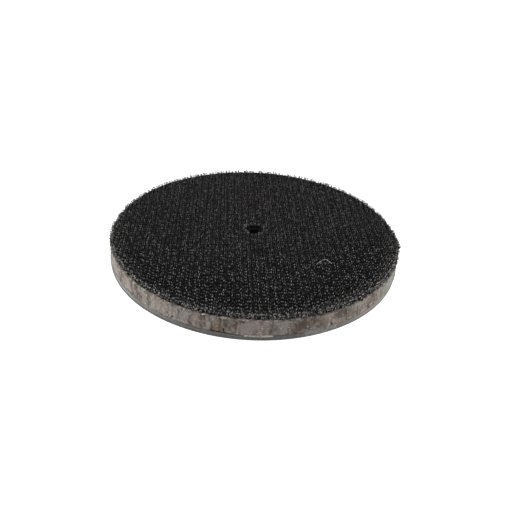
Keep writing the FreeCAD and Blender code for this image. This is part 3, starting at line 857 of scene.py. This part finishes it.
def make_hook_tree():
    tree, given, end = new_tree("hooks_on_cloth", [
        ("Geometry", "Geometry", None), ("Hook", "Object", None), ("Column Pitch", "Float", COLUMN_PITCH),
        ("Hook Pitch", "Float", HOOK_PITCH), ("Field Radius", "Float", 0.064), ("Turn", "Float", 0.0),
        ("Offset", "Vector", (0, 0, 0)), ("Half", "Float", 1.0), ("Lean", "Float", 0.12),
        ("Rim Lean", "Float", 0.7), ("Seed", "Int", 1),
    ])
    counts = []
    sides = []
    for pitch in (given["Column Pitch"], given["Hook Pitch"]):
        half_count = math_node(tree, "CEIL", math_node(tree, "DIVIDE", given["Field Radius"], pitch))
        steps = math_node(tree, "MULTIPLY", half_count, 2.0)
        counts.append(math_node(tree, "ADD", steps, 1.0))
        sides.append(math_node(tree, "MULTIPLY", steps, pitch))
    grid = put(tree, "GeometryNodeMeshGrid", Size_X=sides[0], Size_Y=sides[1],
               Vertices_X=counts[0], Vertices_Y=counts[1])
    place = tree.nodes.new("GeometryNodeInputPosition").outputs[0]
    across_rows = put(tree, "ShaderNodeSeparateXYZ", Vector=place).outputs[0]
    column = math_node(tree, "ROUND", math_node(tree, "DIVIDE", across_rows, given["Column Pitch"]))
    odd = math_node(tree, "MODULO", math_node(tree, "ADD", column, 1000.0), 2.0)
    marked = put(tree, "GeometryNodeStoreNamedAttribute", Geometry=grid.outputs[0], Name="odd", Value=odd)
    stagger = math_node(tree, "MULTIPLY", math_node(tree, "MULTIPLY", odd, given["Hook Pitch"]), 0.5)
    wander = random_value(tree, (-WANDER_ACROSS, -WANDER_ALONG, 0), (WANDER_ACROSS, WANDER_ALONG, 0),
                          given["Seed"], "FLOAT_VECTOR")
    shift = put(tree, "ShaderNodeVectorMath", "ADD", _0=wander,
                _1=put(tree, "ShaderNodeCombineXYZ", Y=stagger).outputs[0])
    staggered = put(tree, "GeometryNodeSetPosition", Geometry=marked.outputs[0], Offset=shift.outputs[0])
    turn = put(tree, "ShaderNodeCombineXYZ", Z=given["Turn"])
    turned = put(tree, "GeometryNodeTransform", Geometry=staggered.outputs[0], Rotation=turn.outputs[0],
                 Translation=given["Offset"])

    # drop every point onto the cloth, and leave out those that miss it, the other half and a few strays
    above = put(tree, "ShaderNodeVectorMath", "ADD", _0=place, _1=(0, 0, 0.1))
    ray = put(tree, "GeometryNodeRaycast", Target_Geometry=given["Geometry"],
              Source_Position=above.outputs[0], Ray_Direction=(0, 0, -1), Ray_Length=1.0)
    x_place = put(tree, "ShaderNodeSeparateXYZ", Vector=place).outputs[0]
    this_half = math_node(tree, "GREATER_THAN", math_node(tree, "MULTIPLY", x_place, given["Half"]), 0.0)
    kept = math_node(tree, "GREATER_THAN", random_value(tree, 0.0, 1.0, 77), MISSING_SHARE)
    stands = math_node(tree, "MULTIPLY", ray.outputs["Is Hit"],
                       math_node(tree, "MULTIPLY", this_half, kept))
    points = put(tree, "GeometryNodeMeshToPoints", Mesh=turned.outputs[0], Selection=stands,
                 Position=ray.outputs["Hit Position"])

    # a random lean, a lean outwards close to the rim, a twist, and a size
    odd_again = tree.nodes.new("GeometryNodeInputNamedAttribute")
    odd_again.data_type = "FLOAT"
    odd_again.inputs["Name"].default_value = "odd"
    facing = math_node(tree, "MULTIPLY_ADD", odd_again.outputs["Attribute"], math.pi, given["Turn"])
    twist = math_node(tree, "ADD", facing, random_value(tree, -0.6, 0.6, 13))
    parts = put(tree, "ShaderNodeSeparateXYZ", Vector=place).outputs
    outward = math_node(tree, "SUBTRACT", math_node(tree, "ARCTAN2", parts[1], parts[0]), twist)
    out = put(tree, "ShaderNodeVectorMath", "LENGTH", _0=place).outputs["Value"]
    rim_share = span(tree, math_node(tree, "DIVIDE", out, given["Field Radius"]), 0.925, 0.975)
    spread = math_node(tree, "MULTIPLY", rim_share, random_value(tree, 0.1, given["Rim Lean"], 15))
    back_lean = math_node(tree, "MULTIPLY", given["Lean"], -1.0)
    lean_x = math_node(tree, "SUBTRACT", random_value(tree, back_lean, given["Lean"], 11),
                       math_node(tree, "MULTIPLY", spread, math_node(tree, "SINE", outward)))
    lean_y = math_node(tree, "MULTIPLY_ADD", spread, math_node(tree, "COSINE", outward),
                       random_value(tree, back_lean, given["Lean"], 12))
    pose = put(tree, "ShaderNodeCombineXYZ", X=lean_x, Y=lean_y, Z=twist)
    tallness = math_node(tree, "MULTIPLY_ADD", rim_share, 0.18, random_value(tree, 0.78, 1.02, 14))
    size = put(tree, "ShaderNodeCombineXYZ", X=1.0, Y=1.0, Z=tallness)
    hook = put(tree, "GeometryNodeObjectInfo", Object=given["Hook"])
    planted = put(tree, "GeometryNodeInstanceOnPoints", Points=points.outputs[0],
                  Instance=hook.outputs["Geometry"], Rotation=pose.outputs[0], Scale=size.outputs[0])
    finish_instances(tree, planted.outputs[0], HOOK_NYLON, end)
    return tree


# %% Plant the hooks on each half
COLUMN_TURN = math.radians(3.4)
HOOK_OFFSET = (0.2 * MM, 0.4 * MM, 0)


def plant_hooks(name, half):
    mesh = grow(name, make_hook_tree(), cloth.data.copy(), {
        "Hook": hook_pair, "Column Pitch": COLUMN_PITCH, "Hook Pitch": HOOK_PITCH,
        "Field Radius": cloth_radius + 2 * MM, "Turn": COLUMN_TURN, "Offset": HOOK_OFFSET, "Half": half,
        "Lean": 0.26, "Rim Lean": 0.8, "Seed": 5,
    })
    return new_piece(name, mesh, HOOK_NYLON)


hook_rows = [plant_hooks("hook_rows_right", 1.0), plant_hooks("hook_rows_left", -1.0)]
bpy.data.objects.remove(hook_pair)
for rows in hook_rows:
    print(f"{rows.name}: {len(rows.data.polygons)} faces")

# %% [markdown]
# ## Loose yarn ends at the cut edge
# A cut tape frays. One more row of hooks follows the cut edge and the hole, short filaments of dusty
# yarn stick out of the cloth at odd angles, and torn bits of foam hang where the two meet. Each is one
# small mesh, scattered on circles by Geometry Nodes.

# %% Frayed edge
RIM_HOOKS = 250
HOLE_HOOKS = 17
FRAY_COUNT = 900
FLUFF_COUNT = 900


def make_filament():
    shape = bmesh.new()
    path = [Vector((x * MM, 0, z * MM)) for x, z in ((-0.3, 0.05), (0.3, 0.05), (0.6, -0.3))]
    sweep_square(shape, path, 0.1 * MM)
    return mesh_from(shape, "filament")


def make_lump(name, flatness, rounds):
    """A small ball, flattened along X: a dab of glue or a crumb of foam."""
    shape = bmesh.new()
    bmesh.ops.create_icosphere(shape, subdivisions=rounds, radius=0.3 * MM)
    for vert in shape.verts:
        vert.co.x *= flatness
    mesh = mesh_from(shape, name)
    mesh.shade_smooth()
    return mesh


def make_scatter_tree(name, finish):
    """Puts an object on a share of the mesh's points, each turned by its own place round the axis."""
    tree, given, end = new_tree(name, [
        ("Geometry", "Geometry", None), ("Piece", "Object", None), ("Share", "Float", 1.0),
        ("Wander", "Float", 0.2 * MM), ("Smallest", "Float", 0.5), ("Largest", "Float", 1.2),
        ("Tumble", "Float", 0.4), ("Lean", "Float", 0.0), ("Seed", "Int", 1),
    ])
    chosen = math_node(tree, "LESS_THAN", random_value(tree, 0.0, 1.0, given["Seed"]), given["Share"])
    points = put(tree, "GeometryNodeMeshToPoints", Mesh=given["Geometry"], Selection=chosen)
    wander_down = math_node(tree, "MULTIPLY", given["Wander"], -1.0)
    moved = put(tree, "GeometryNodeSetPosition", Geometry=points.outputs[0],
                Offset=random_value(tree, wander_down, given["Wander"], 21, "FLOAT_VECTOR"))
    place = put(tree, "ShaderNodeSeparateXYZ", Vector=tree.nodes.new("GeometryNodeInputPosition").outputs[0])
    outward = math_node(tree, "ARCTAN2", place.outputs[1], place.outputs[0])
    tumble_down = math_node(tree, "MULTIPLY", given["Tumble"], -1.0)
    tumble = [random_value(tree, tumble_down, given["Tumble"], seed) for seed in (22, 23, 24)]
    pose = put(tree, "ShaderNodeCombineXYZ", X=tumble[0], Y=math_node(tree, "ADD", tumble[1], given["Lean"]),
               Z=math_node(tree, "ADD", outward, tumble[2]))
    piece = put(tree, "GeometryNodeObjectInfo", Object=given["Piece"])
    scattered = put(tree, "GeometryNodeInstanceOnPoints", Points=moved.outputs[0],
                    Instance=piece.outputs["Geometry"], Rotation=pose.outputs[0],
                    Scale=random_value(tree, given["Smallest"], given["Largest"], 25))
    finish_instances(tree, scattered.outputs[0], finish, end)
    return tree


def scatter(name, spots, item_mesh, finish, **values):
    """A piece made of many copies of a small mesh at the given places."""
    item = bpy.data.objects.new(f"{name}_item", item_mesh)
    scene.collection.objects.link(item)
    seeds = bpy.data.meshes.new(f"{name}_spots")
    seeds.from_pydata([tuple(spot) for spot in spots], [], [])
    settings = {title.replace("_", " "): value for title, value in values.items()}
    mesh = grow(name, make_scatter_tree(f"{name}_tree", finish), seeds, {"Piece": item, **settings})
    bpy.data.objects.remove(item)
    return new_piece(name, mesh, finish)


def make_fray():
    angles = np.linspace(0, math.tau, FRAY_COUNT, endpoint=False)
    middle = (cloth_low.z + cloth_high.z) / 2
    spots = ring_of(cloth_outline(angles) - 0.05 * MM, middle, angles)
    return scatter("frayed_yarn", spots, make_filament(), YARN, Share=0.75, Wander=0.2 * MM,
                   Smallest=0.6, Largest=1.5, Tumble=0.8, Lean=0.5, Seed=9)


def make_fluff():
    """Torn crumbs of foam and dust, caught at the cloth's cut edge."""
    angles = np.linspace(0, math.tau, FLUFF_COUNT, endpoint=False)
    spots = ring_of(cloth_outline(angles) - 0.02 * MM, cloth_low.z + 0.12 * MM, angles)
    return scatter("torn_fluff", spots, make_lump("crumb", 0.8, 1), TORN_FOAM, Share=0.6,
                   Wander=0.32 * MM, Smallest=0.35, Largest=1.1, Tumble=1.4, Seed=16)


def make_rim_hooks():
    """One more row of hooks that follows the cut edge and the hole, as the weave's last threads do."""
    around = np.linspace(0, math.tau, RIM_HOOKS, endpoint=False)
    inside = np.linspace(0, math.tau, HOLE_HOOKS, endpoint=False)
    rim = ring_of(cloth_outline(around) - 0.4 * MM, cloth_high.z, around)
    hole = ring_of(hole_radius + 0.3 * MM, cloth_high.z, inside)
    return scatter("hooks_at_edges", np.concatenate([rim, hole]), hook_shape, HOOK_NYLON, Share=0.95,
                   Wander=0.2 * MM, Smallest=1.0, Largest=1.3, Tumble=0.3, Lean=0.25, Seed=4)


rim_hooks = make_rim_hooks()
fray = make_fray()
fluff = make_fluff()
print(f"frayed yarn: {len(fray.data.polygons)} faces, torn fluff: {len(fluff.data.polygons)} faces")

# %% [markdown]
# ## The foam disc
# The foam is a ring of closed skin: out along its base, up the visible side, in along the top, and down the
# bore and the hollow for the hub. Only the side is seen, so it gets nearly all the rows. Each point of the
# side is then pushed in or out: slow waves, because the foam isn't perfectly round, fine noise, and marks
# that we place one by one, such as open cells, a cracked patch and one spot where the glue let go and the
# foam's lower edge has lifted off the plate. A mark writes its strength into a point attribute too, which the
# foam finish reads.

# %% The foam's side as numbers
FOAM_STEPS = 1440
SIDE_ROWS = 28
FOAM_WAVES = [(0.14, 2, 120), (0.10, 3, 30), (0.06, 5, 80)]
FOAM_BUMPS = [(190, 7, 0.3), (209, 9, -0.3), (340, 8, 0.35)]
FOAM_DRAFT = 0.25 * MM
FOAM_HEIGHT = foam_high.z - foam_low.z

# open cells: direction in degrees, height above the foam's base, radius and depth in mm
OPEN_CELLS = [
    (242.8, 1.35, 0.50, 0.60), (242.1, 0.45, 0.34, 0.45), (299.0, 1.00, 0.50, 0.60),
    (304.5, 4.60, 0.42, 0.30), (252.0, 2.10, 0.30, 0.25), (283.5, 4.90, 0.35, 0.25),
    (289.0, 3.90, 0.28, 0.25), (309.5, 2.60, 0.30, 0.30), (233.0, 1.60, 0.26, 0.25),
    (215.5, 2.20, 0.30, 0.22), (317.0, 3.80, 0.26, 0.20), (264.0, 5.60, 0.30, 0.22),
]
# cracks: from and to, as direction and height, and width in mm
CRACKS = [
    ((256.6, 0.30), (263.2, 0.15), 0.34), ((257.6, 0.20), (257.1, 1.10), 0.24),
    ((261.6, 0.15), (261.3, 2.10), 0.26), ((260.0, 0.15), (260.2, 0.80), 0.18),
    ((218.0, 0.45), (227.5, 0.20), 0.34),
]
LIFTED_EDGE = (222.5, 4.6, 0.55 * MM)     # direction, half width in degrees, and how far it lifts
SMALL_CELLS = 260


def side_grid():
    angles = np.linspace(0, math.tau, FOAM_STEPS, endpoint=False)
    shares = np.linspace(0, 1, SIDE_ROWS)
    shares = (1 - np.cos(shares * math.pi)) / 2 * 0.35 + shares * 0.65
    return np.meshgrid(angles, shares * FOAM_HEIGHT)


def cell_marks():
    """The listed open cells and many small random ones."""
    draw = np.random.default_rng(31)
    random_cells = zip(draw.uniform(0, 360, SMALL_CELLS), draw.uniform(0.2, 6.5, SMALL_CELLS),
                       draw.uniform(0.1, 0.26, SMALL_CELLS), draw.uniform(0.06, 0.2, SMALL_CELLS))
    return OPEN_CELLS + [tuple(cell) for cell in random_cells]


def distance_to_crack(across_mm, up_mm, start, end, centre):
    """Distance in mm from points to a crack's straight run, on the unrolled side."""
    run = [np.array([math.radians(a - centre) * foam_radius / MM, h]) for a, h in (start, end)]
    along = run[1] - run[0]
    share = ((across_mm - run[0][0]) * along[0] + (up_mm - run[0][1]) * along[1]) / (along @ along)
    share = np.clip(share, 0, 1)
    return np.hypot(across_mm - run[0][0] - share * along[0], up_mm - run[0][1] - share * along[1])


def side_marks(angles, heights):
    """How far each point is pushed in, in metres, and the strength of the pit mark there."""
    push = np.zeros_like(angles)
    pit = np.zeros_like(angles)
    for direction, height, radius, depth in cell_marks():
        away = np.hypot(np.radians(degrees_between(angles, direction)) * foam_radius, heights - height * MM)
        inside = np.clip(1 - (away / (radius * MM)) ** 2, 0, 1)
        push += depth * MM * inside
        pit = np.maximum(pit, inside ** 0.7 * min(1.0, depth / 0.3))
    for start, end, width in CRACKS:
        centre = start[0]
        across_mm = np.radians(degrees_between(angles, centre)) * foam_radius / MM
        ragged = np.sin(heights / MM * 9.0) * 0.06 + np.sin(across_mm * 7.0) * 0.05
        away = distance_to_crack(across_mm, heights / MM, start, end, centre) + ragged
        inside = np.clip(1 - away / width, 0, 1)
        push += 0.35 * MM * inside
        pit = np.maximum(pit, np.clip(inside * 2.2, 0, 1))
    return push, pit


# patches: direction and half width in degrees, height and half height in mm, and strength
PALE_PATCHES = [
    (333.0, 5.5, 3.0, 4.5, 1.0), (295.5, 5.0, 0.3, 0.7, 0.9), (247.5, 2.4, 4.6, 2.2, 0.5),
    (205.0, 9.0, 3.2, 4.5, 0.4), (282.0, 2.6, 5.2, 1.2, 0.55), (237.5, 1.2, 4.4, 1.8, 0.5),
]
BROWN_PATCHES = [
    (289.0, 4.5, 3.6, 2.6, 0.55), (302.5, 4.2, 4.4, 2.2, 0.7), (267.5, 1.3, 6.1, 0.9, 0.8),
    (308.5, 2.2, 2.2, 1.6, 0.45), (277.0, 3.0, 3.6, 1.8, 0.35), (296.0, 2.2, 3.0, 2.4, 0.5),
    (253.0, 2.0, 1.4, 1.0, 0.35), (231.0, 3.0, 2.2, 1.6, 0.3), (325.0, 1.2, 2.5, 3.0, 0.4),
]


def patch_of(angles, heights, direction, wide, height, tall):
    """A soft-edged oval patch, 1 at its middle; wide is in degrees and tall in mm."""
    away = (degrees_between(angles, direction) / wide) ** 2 + ((heights / MM - height) / tall) ** 2
    return np.clip(1.4 - away, 0, 1)


def strongest_of(angles, heights, patches):
    return np.maximum.reduce([patch_of(angles, heights, *patch[:4]) * patch[4] for patch in patches])


# %% Build the foam


def foam_noise(angles, heights):
    """Fine unevenness of the rubbed side, streaked upright, in metres."""
    out = np.empty_like(angles)
    for spot, angle in np.ndenumerate(angles):
        place = Vector((math.cos(angle) * 62, math.sin(angle) * 62, heights[spot] / MM * 0.35))
        out[spot] = noise.fractal(place * 0.55, 0.8, 2.1, 4) * 0.07 + noise.noise(place * 2.6) * 0.035
    return out * MM


def top_edge_noise(angles):
    """The foam's top edge is torn a little all round."""
    around = angles[0]
    line = np.array([
        noise.fractal(Vector((math.cos(a), math.sin(a), 5.0)) * 48.0, 0.9, 2.2, 3) for a in around
    ])
    return np.broadcast_to(line * 0.22 * MM - 0.05 * MM, angles.shape)


def make_foam():
    angles, heights = side_grid()
    push, pit = side_marks(angles, heights)
    direction, half_width, lift = LIFTED_EDGE
    lifted = np.clip(1 - (degrees_between(angles, direction) / half_width) ** 2, 0, 1)
    near_base = np.clip(1 - heights / (1.6 * MM), 0, 1)
    side_share = heights / FOAM_HEIGHT
    low_edge = np.clip(1 - side_share * 14, 0, 1) ** 2
    high_edge = np.clip(side_share * 14 - 13, 0, 1) ** 2
    edge_round = 0.3 * MM * (low_edge + high_edge)
    waist = 0.12 * MM * np.sin(side_share * math.pi)
    frayed = top_edge_noise(angles) * np.clip(side_share * 6 - 5, 0, 1)
    radius = foam_radius - 0.2 * MM - FOAM_DRAFT * side_share - edge_round - waist
    radius += wavy(angles, FOAM_WAVES) + bumps(angles, FOAM_BUMPS) + foam_noise(angles, heights) + frayed
    radius -= push + lifted * near_base * 0.25 * MM
    rise = foam_low.z + heights + lifted * near_base * lift
    side = np.stack([radius * np.cos(angles), radius * np.sin(angles), rise], axis=-1)
    around = angles[0]
    hub_radius = clinch_high.x + 0.3 * MM
    bore_radius = 6.3 * MM
    hollow_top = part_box("hub_rivets")[1].z + 0.3 * MM
    inside = [
        ring_of(foam_radius * 0.96, foam_high.z, around), ring_of(bore_radius, foam_high.z, around),
        ring_of(bore_radius, hollow_top, around), ring_of(hub_radius, hollow_top, around),
        ring_of(hub_radius, foam_low.z, around), ring_of(foam_radius * 0.96, foam_low.z, around),
    ]
    mesh = skin_of_rings("foam_disc", np.concatenate([side, np.array(inside)]), closed_loop=True)

    stain = np.maximum(patch_of(angles, heights, 259.3, 2.6, 1.9, 2.6),
                       patch_of(angles, heights, 257.6, 1.8, 4.6, 1.6) * 0.5)
    stain = np.maximum(stain, patch_of(angles, heights, 319.0, 2.6, 4.4, 2.2) * 0.75)
    pale = strongest_of(angles, heights, PALE_PATCHES)
    brown = strongest_of(angles, heights, BROWN_PATCHES)
    hidden = np.zeros((len(inside), FOAM_STEPS))
    for name, marks in (("pit", pit), ("stain", stain * 0.62), ("pale", pale), ("brown", brown)):
        layer = mesh.attributes.new(name, "FLOAT", "POINT")
        layer.data.foreach_set("value", np.concatenate([marks, hidden]).ravel().astype(np.float32))
    return new_piece("foam_disc", mesh, FOAM_SKIN, smooth_angle=50)


foam = make_foam()
print(f"foam: {len(foam.data.polygons)} faces, {SMALL_CELLS + len(OPEN_CELLS)} open cells")

# %% [markdown]
# ## Glue
# A line of glue holds the foam on the plate. Most of it is hidden, but its outer bead shows as a thin
# pale line that comes and goes. The line is a ring whose outer edge wanders in and out and whose height
# changes with it. Geometry Nodes adds the rest on points that we choose: a smooth ridge at the front,
# made of beads so close that they are one run, a thin smear wiped over the plate's edge beside it, made
# of flat dabs, and stray dabs on the foam.

# %% Glue line, ridge, smear and dabs
GLUE_STEPS = 1080
RIDGE = (268.6, 277.4, 60)       # from and to, in degrees, and how many beads
SMEAR = (288.5, 300.5, 260)      # the same, in dabs
STRAY_DABS = 46
STRAY_ARC = (195, 535)           # degrees
DAB_FLATNESS = 0.3
FILM_FLATNESS = 0.09


def make_glue_line():
    angles = np.linspace(0, math.tau, GLUE_STEPS, endpoint=False)
    amount = np.array([
        noise.fractal(Vector((math.cos(a), math.sin(a), 0.3)) * 7.0, 1.0, 2.0, 3)
        + 0.5 * noise.noise(Vector((math.cos(a), math.sin(a), 2.0)) * 45.0) for a in angles
    ])
    thick_run = np.clip(1 - (degrees_between(angles, 295.0) / 7.0) ** 2, 0, 1)
    gap = np.clip(1 - (degrees_between(angles, LIFTED_EDGE[0]) / 8.0) ** 2, 0, 1)
    amount = np.clip(amount + 0.9 * thick_run - 1.6 * gap, -0.9, 1.0)
    glue_low, glue_high = plate_high.z, foam_low.z
    reach = foam_radius - 0.28 * MM + 0.3 * MM * amount
    swell = np.clip(amount, 0, 1) * 0.2 * MM
    middle = (glue_low + glue_high) / 2
    inner = clinch_high.x + 0.3 * MM
    rings = [
        ring_of(inner, glue_low, angles), ring_of(foam_radius - 2 * MM, glue_low, angles),
        ring_of(reach - 0.1 * MM, glue_low, angles),
        ring_of(reach, middle + swell * 0.2, angles),
        ring_of(reach - 0.08 * MM, glue_high + swell, angles),
        ring_of(foam_radius - 2 * MM, glue_high, angles), ring_of(inner, glue_high, angles),
    ]
    mesh = skin_of_rings("glue_line", np.array(rings), closed_loop=True)
    return new_piece("glue_line", mesh, THIN_GLUE, smooth_angle=60)


def make_strays():
    """Small dabs on the foam's side, most of the way round."""
    draw = np.random.default_rng(12)
    directions = np.radians(draw.uniform(*STRAY_ARC, STRAY_DABS))
    heights = foam_low.z + draw.uniform(0.2, 5.5, STRAY_DABS) * MM
    out = foam_radius + wavy(directions, FOAM_WAVES) - 0.3 * MM
    return scatter("glue_dabs", ring_of(out, heights, directions), make_lump("dab", DAB_FLATNESS, 2),
                   DRIED_GLUE, Share=0.97, Wander=0.06 * MM, Smallest=0.45, Largest=1.15, Tumble=0.5, Seed=3)


def make_beads():
    """One smooth ridge squeezed out over the joint: beads so close that they are a single run."""
    directions = np.radians(np.linspace(*RIDGE))
    spots = ring_of(foam_radius - 0.04 * MM, foam_low.z + 0.02 * MM, directions)
    return scatter("glue_beads", spots, make_lump("dab", DAB_FLATNESS, 2), DRIED_GLUE, Share=1.1,
                   Wander=0.02 * MM, Smallest=1.3, Largest=1.5, Tumble=0.0, Seed=6)


def make_smear():
    """Glue wiped across the plate's edge."""
    draw = np.random.default_rng(8)
    start, end, count = SMEAR
    directions = np.radians(np.linspace(start, end, count))
    heights = foam_low.z + draw.uniform(-1.2, 0.2, count) * MM
    return scatter("glue_smear", ring_of(foam_radius - 0.01 * MM, heights, directions),
                   make_lump("film", FILM_FLATNESS, 2), THIN_GLUE, Share=1.1, Wander=0.04 * MM,
                   Smallest=1.0, Largest=2.4, Tumble=0.05, Seed=6)


glue = make_glue_line()
dabs = make_strays()
beads = make_beads()
smear = make_smear()
print(f"glue line: {len(glue.data.polygons)} faces, dabs: {len(dabs.data.polygons)} faces")

# %% [markdown]
# ## The threaded stud
# The stud is one turned piece, so we make it as one closed skin of rings from the tip of its thread to
# the bottom of its hex socket. A ring's radius may depend on the direction. For a hexagon it is the
# distance to the nearest flat. For the thread it follows a helix: the height and the direction together
# give how far along the turn a point is, and that gives crest or groove. The corners of the hex collar
# are cut by a cone, so each ring there takes the smaller of hexagon and cone.

# %% Stud
THREAD_PITCH = 25.4 / 24 * MM
THREAD_DEPTH = 0.61 * THREAD_PITCH
ROWS_PER_TURN = 10
STUD_STEPS = 240
COLLAR_FLATS = 17.0 * MM
SOCKET_FLATS = 6.35 * MM
SOCKET_DEPTH = 5.0 * MM
BOSS_RADIUS = 6.0 * MM
STAKED_RIM = 7.2 * MM


def hexagon(angles, flats):
    """Radius of a hexagon in each direction, with a corner on +X."""
    from_flat = (angles % (math.tau / 6)) - math.tau / 12
    return flats / 2 / np.cos(from_flat)


def thread_profile(angles, height):
    """Radius of a right-hand thread at one height, in each direction."""
    phase = (height / THREAD_PITCH - angles / math.tau) % 1.0
    flank = np.clip((np.abs(phase - 0.5) * 2 - 0.12) / (1 - 0.12 - 0.2), 0, 1)
    return thread_radius - THREAD_DEPTH * flank


def thread_rings(angles):
    """From the tip's lead-in to the groove under the collar."""
    tip, groove_start = stud_low.z, -1.1 * MM
    rows = int((groove_start - tip) / THREAD_PITCH * ROWS_PER_TURN)
    rings = [ring_of(0.4 * MM, tip + 0.5 * MM, angles), ring_of(0.9 * MM, tip, angles)]
    for height in np.linspace(tip, groove_start, rows):
        cone = thread_radius - 0.9 * MM + (height - tip)
        rings.append(ring_of(np.minimum(thread_profile(angles, height), cone), height, angles))
    root = thread_radius - THREAD_DEPTH * 1.02
    rings += [ring_of(root, groove_start + 0.15 * MM, angles), ring_of(root, -0.12 * MM, angles)]
    return rings


def collar_rings(angles):
    """Seat face, hexagon with its corners cut, back face."""
    seat_radius = COLLAR_FLATS / math.sqrt(3) - 0.9 * MM * math.tan(math.radians(60))
    side = hexagon(angles, COLLAR_FLATS)
    rings = [ring_of(thread_radius, 0.0, angles)]
    for height in np.linspace(0, 0.9 * MM, 16):
        cone = seat_radius + height * math.tan(math.radians(60))
        rings.append(ring_of(np.minimum(side, cone), height, angles))
    rings.append(ring_of(side, flange_low.z, angles))
    return rings


def boss_rings(angles):
    """Through the hub, over the staked rim and up to the socket."""
    top = stud_high.z
    socket = hexagon(angles, SOCKET_FLATS)
    profile = [
        (BOSS_RADIUS, flange_low.z), (BOSS_RADIUS, clinch_high.z), (STAKED_RIM, clinch_high.z),
        (STAKED_RIM - 0.3 * MM, clinch_high.z + 0.4 * MM), (BOSS_RADIUS, clinch_high.z + 0.7 * MM),
        (BOSS_RADIUS, top - 0.4 * MM), (BOSS_RADIUS - 0.4 * MM, top), (socket + 0.25 * MM, top),
        (socket, top - 0.25 * MM), (socket, top - SOCKET_DEPTH), (0.5 * MM, top - SOCKET_DEPTH - 0.6 * MM),
    ]
    return [ring_of(radius, height, angles) for radius, height in profile]


def make_stud():
    angles = np.linspace(0, math.tau, STUD_STEPS, endpoint=False)
    rings = thread_rings(angles) + collar_rings(angles) + boss_rings(angles)
    mesh = skin_of_rings("threaded_stud", np.array(rings), closed_loop=False)
    return new_piece("threaded_stud", mesh, BLACK_STEEL, smooth_angle=28)


stud = make_stud()
print(f"stud: {len(stud.data.polygons)} faces, {-stud_low.z / THREAD_PITCH:.1f} turns of thread")

# %% [markdown]
# ## A stray fibre
# One pale fibre lies caught on the hooks near the front. It is a curve of a few points with a very thin
# round section, turned into a mesh.

# %% Stray fibre


def make_lint():
    top = pile_high.z
    path = [
        (25.5, -26.2, 0.1), (27.4, -24.1, 0.25), (29.3, -22.2, 0.3), (30.6, -23.2, 0.1), (31.8, -24.6, -0.2),
    ]
    curve = bpy.data.curves.new("lint", "CURVE")
    curve.dimensions = "3D"
    curve.bevel_depth = 0.07 * MM
    curve.bevel_resolution = 1
    curve.use_fill_caps = True
    spline = curve.splines.new("NURBS")
    spline.points.add(len(path) - 1)
    for point, (x, y, up) in zip(spline.points, path):
        point.co = (x * MM, y * MM, top + up * MM, 1)
    spline.order_u = 3
    spline.use_endpoint_u = True
    carrier = bpy.data.objects.new("lint_carrier", curve)
    mesh = bpy.data.meshes.new_from_object(carrier)
    bpy.data.objects.remove(carrier)
    return new_piece("stray_fibre", mesh, PALE_FIBRE)


lint = make_lint()

# %% [markdown]
# ## Finishes on the ready-made parts
# The plate, the hub flange, the clinch plate, the rivets and the glue film under the cloth keep their
# shapes from the design. They only get their finishes, in their own material slots.

# %% Dress the ready-made parts
READY_MADE = {
    "backing_plate": PLATE_LAMINATE, "hub_flange": ZINC, "clinch_plate": ZINC,
    "hub_rivets": RIVET_STEEL, "cloth_adhesive": DIRTY_FILM,
}
for node_name, finish in READY_MADE.items():
    node = frame["nodes"][node_name]
    for slot in node.material_slots:
        slot.material = finish

# %% [markdown]
# ## What stands for what
# Last, each new piece rides on the pad's one body, and the design's parts that the new pieces stand for are
# hidden.

# %% Ride and replace
for piece in (cloth, *hook_rows, rim_hooks, fray, fluff, foam, glue, dabs, beads, smear, stud, lint):
    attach(piece, BODY)

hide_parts("hook_cloth")
for rows in (*hook_rows, rim_hooks):
    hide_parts("hook_pile")
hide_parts("foam_cushion")
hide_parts("plate_adhesive")
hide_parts("spindle_stud")
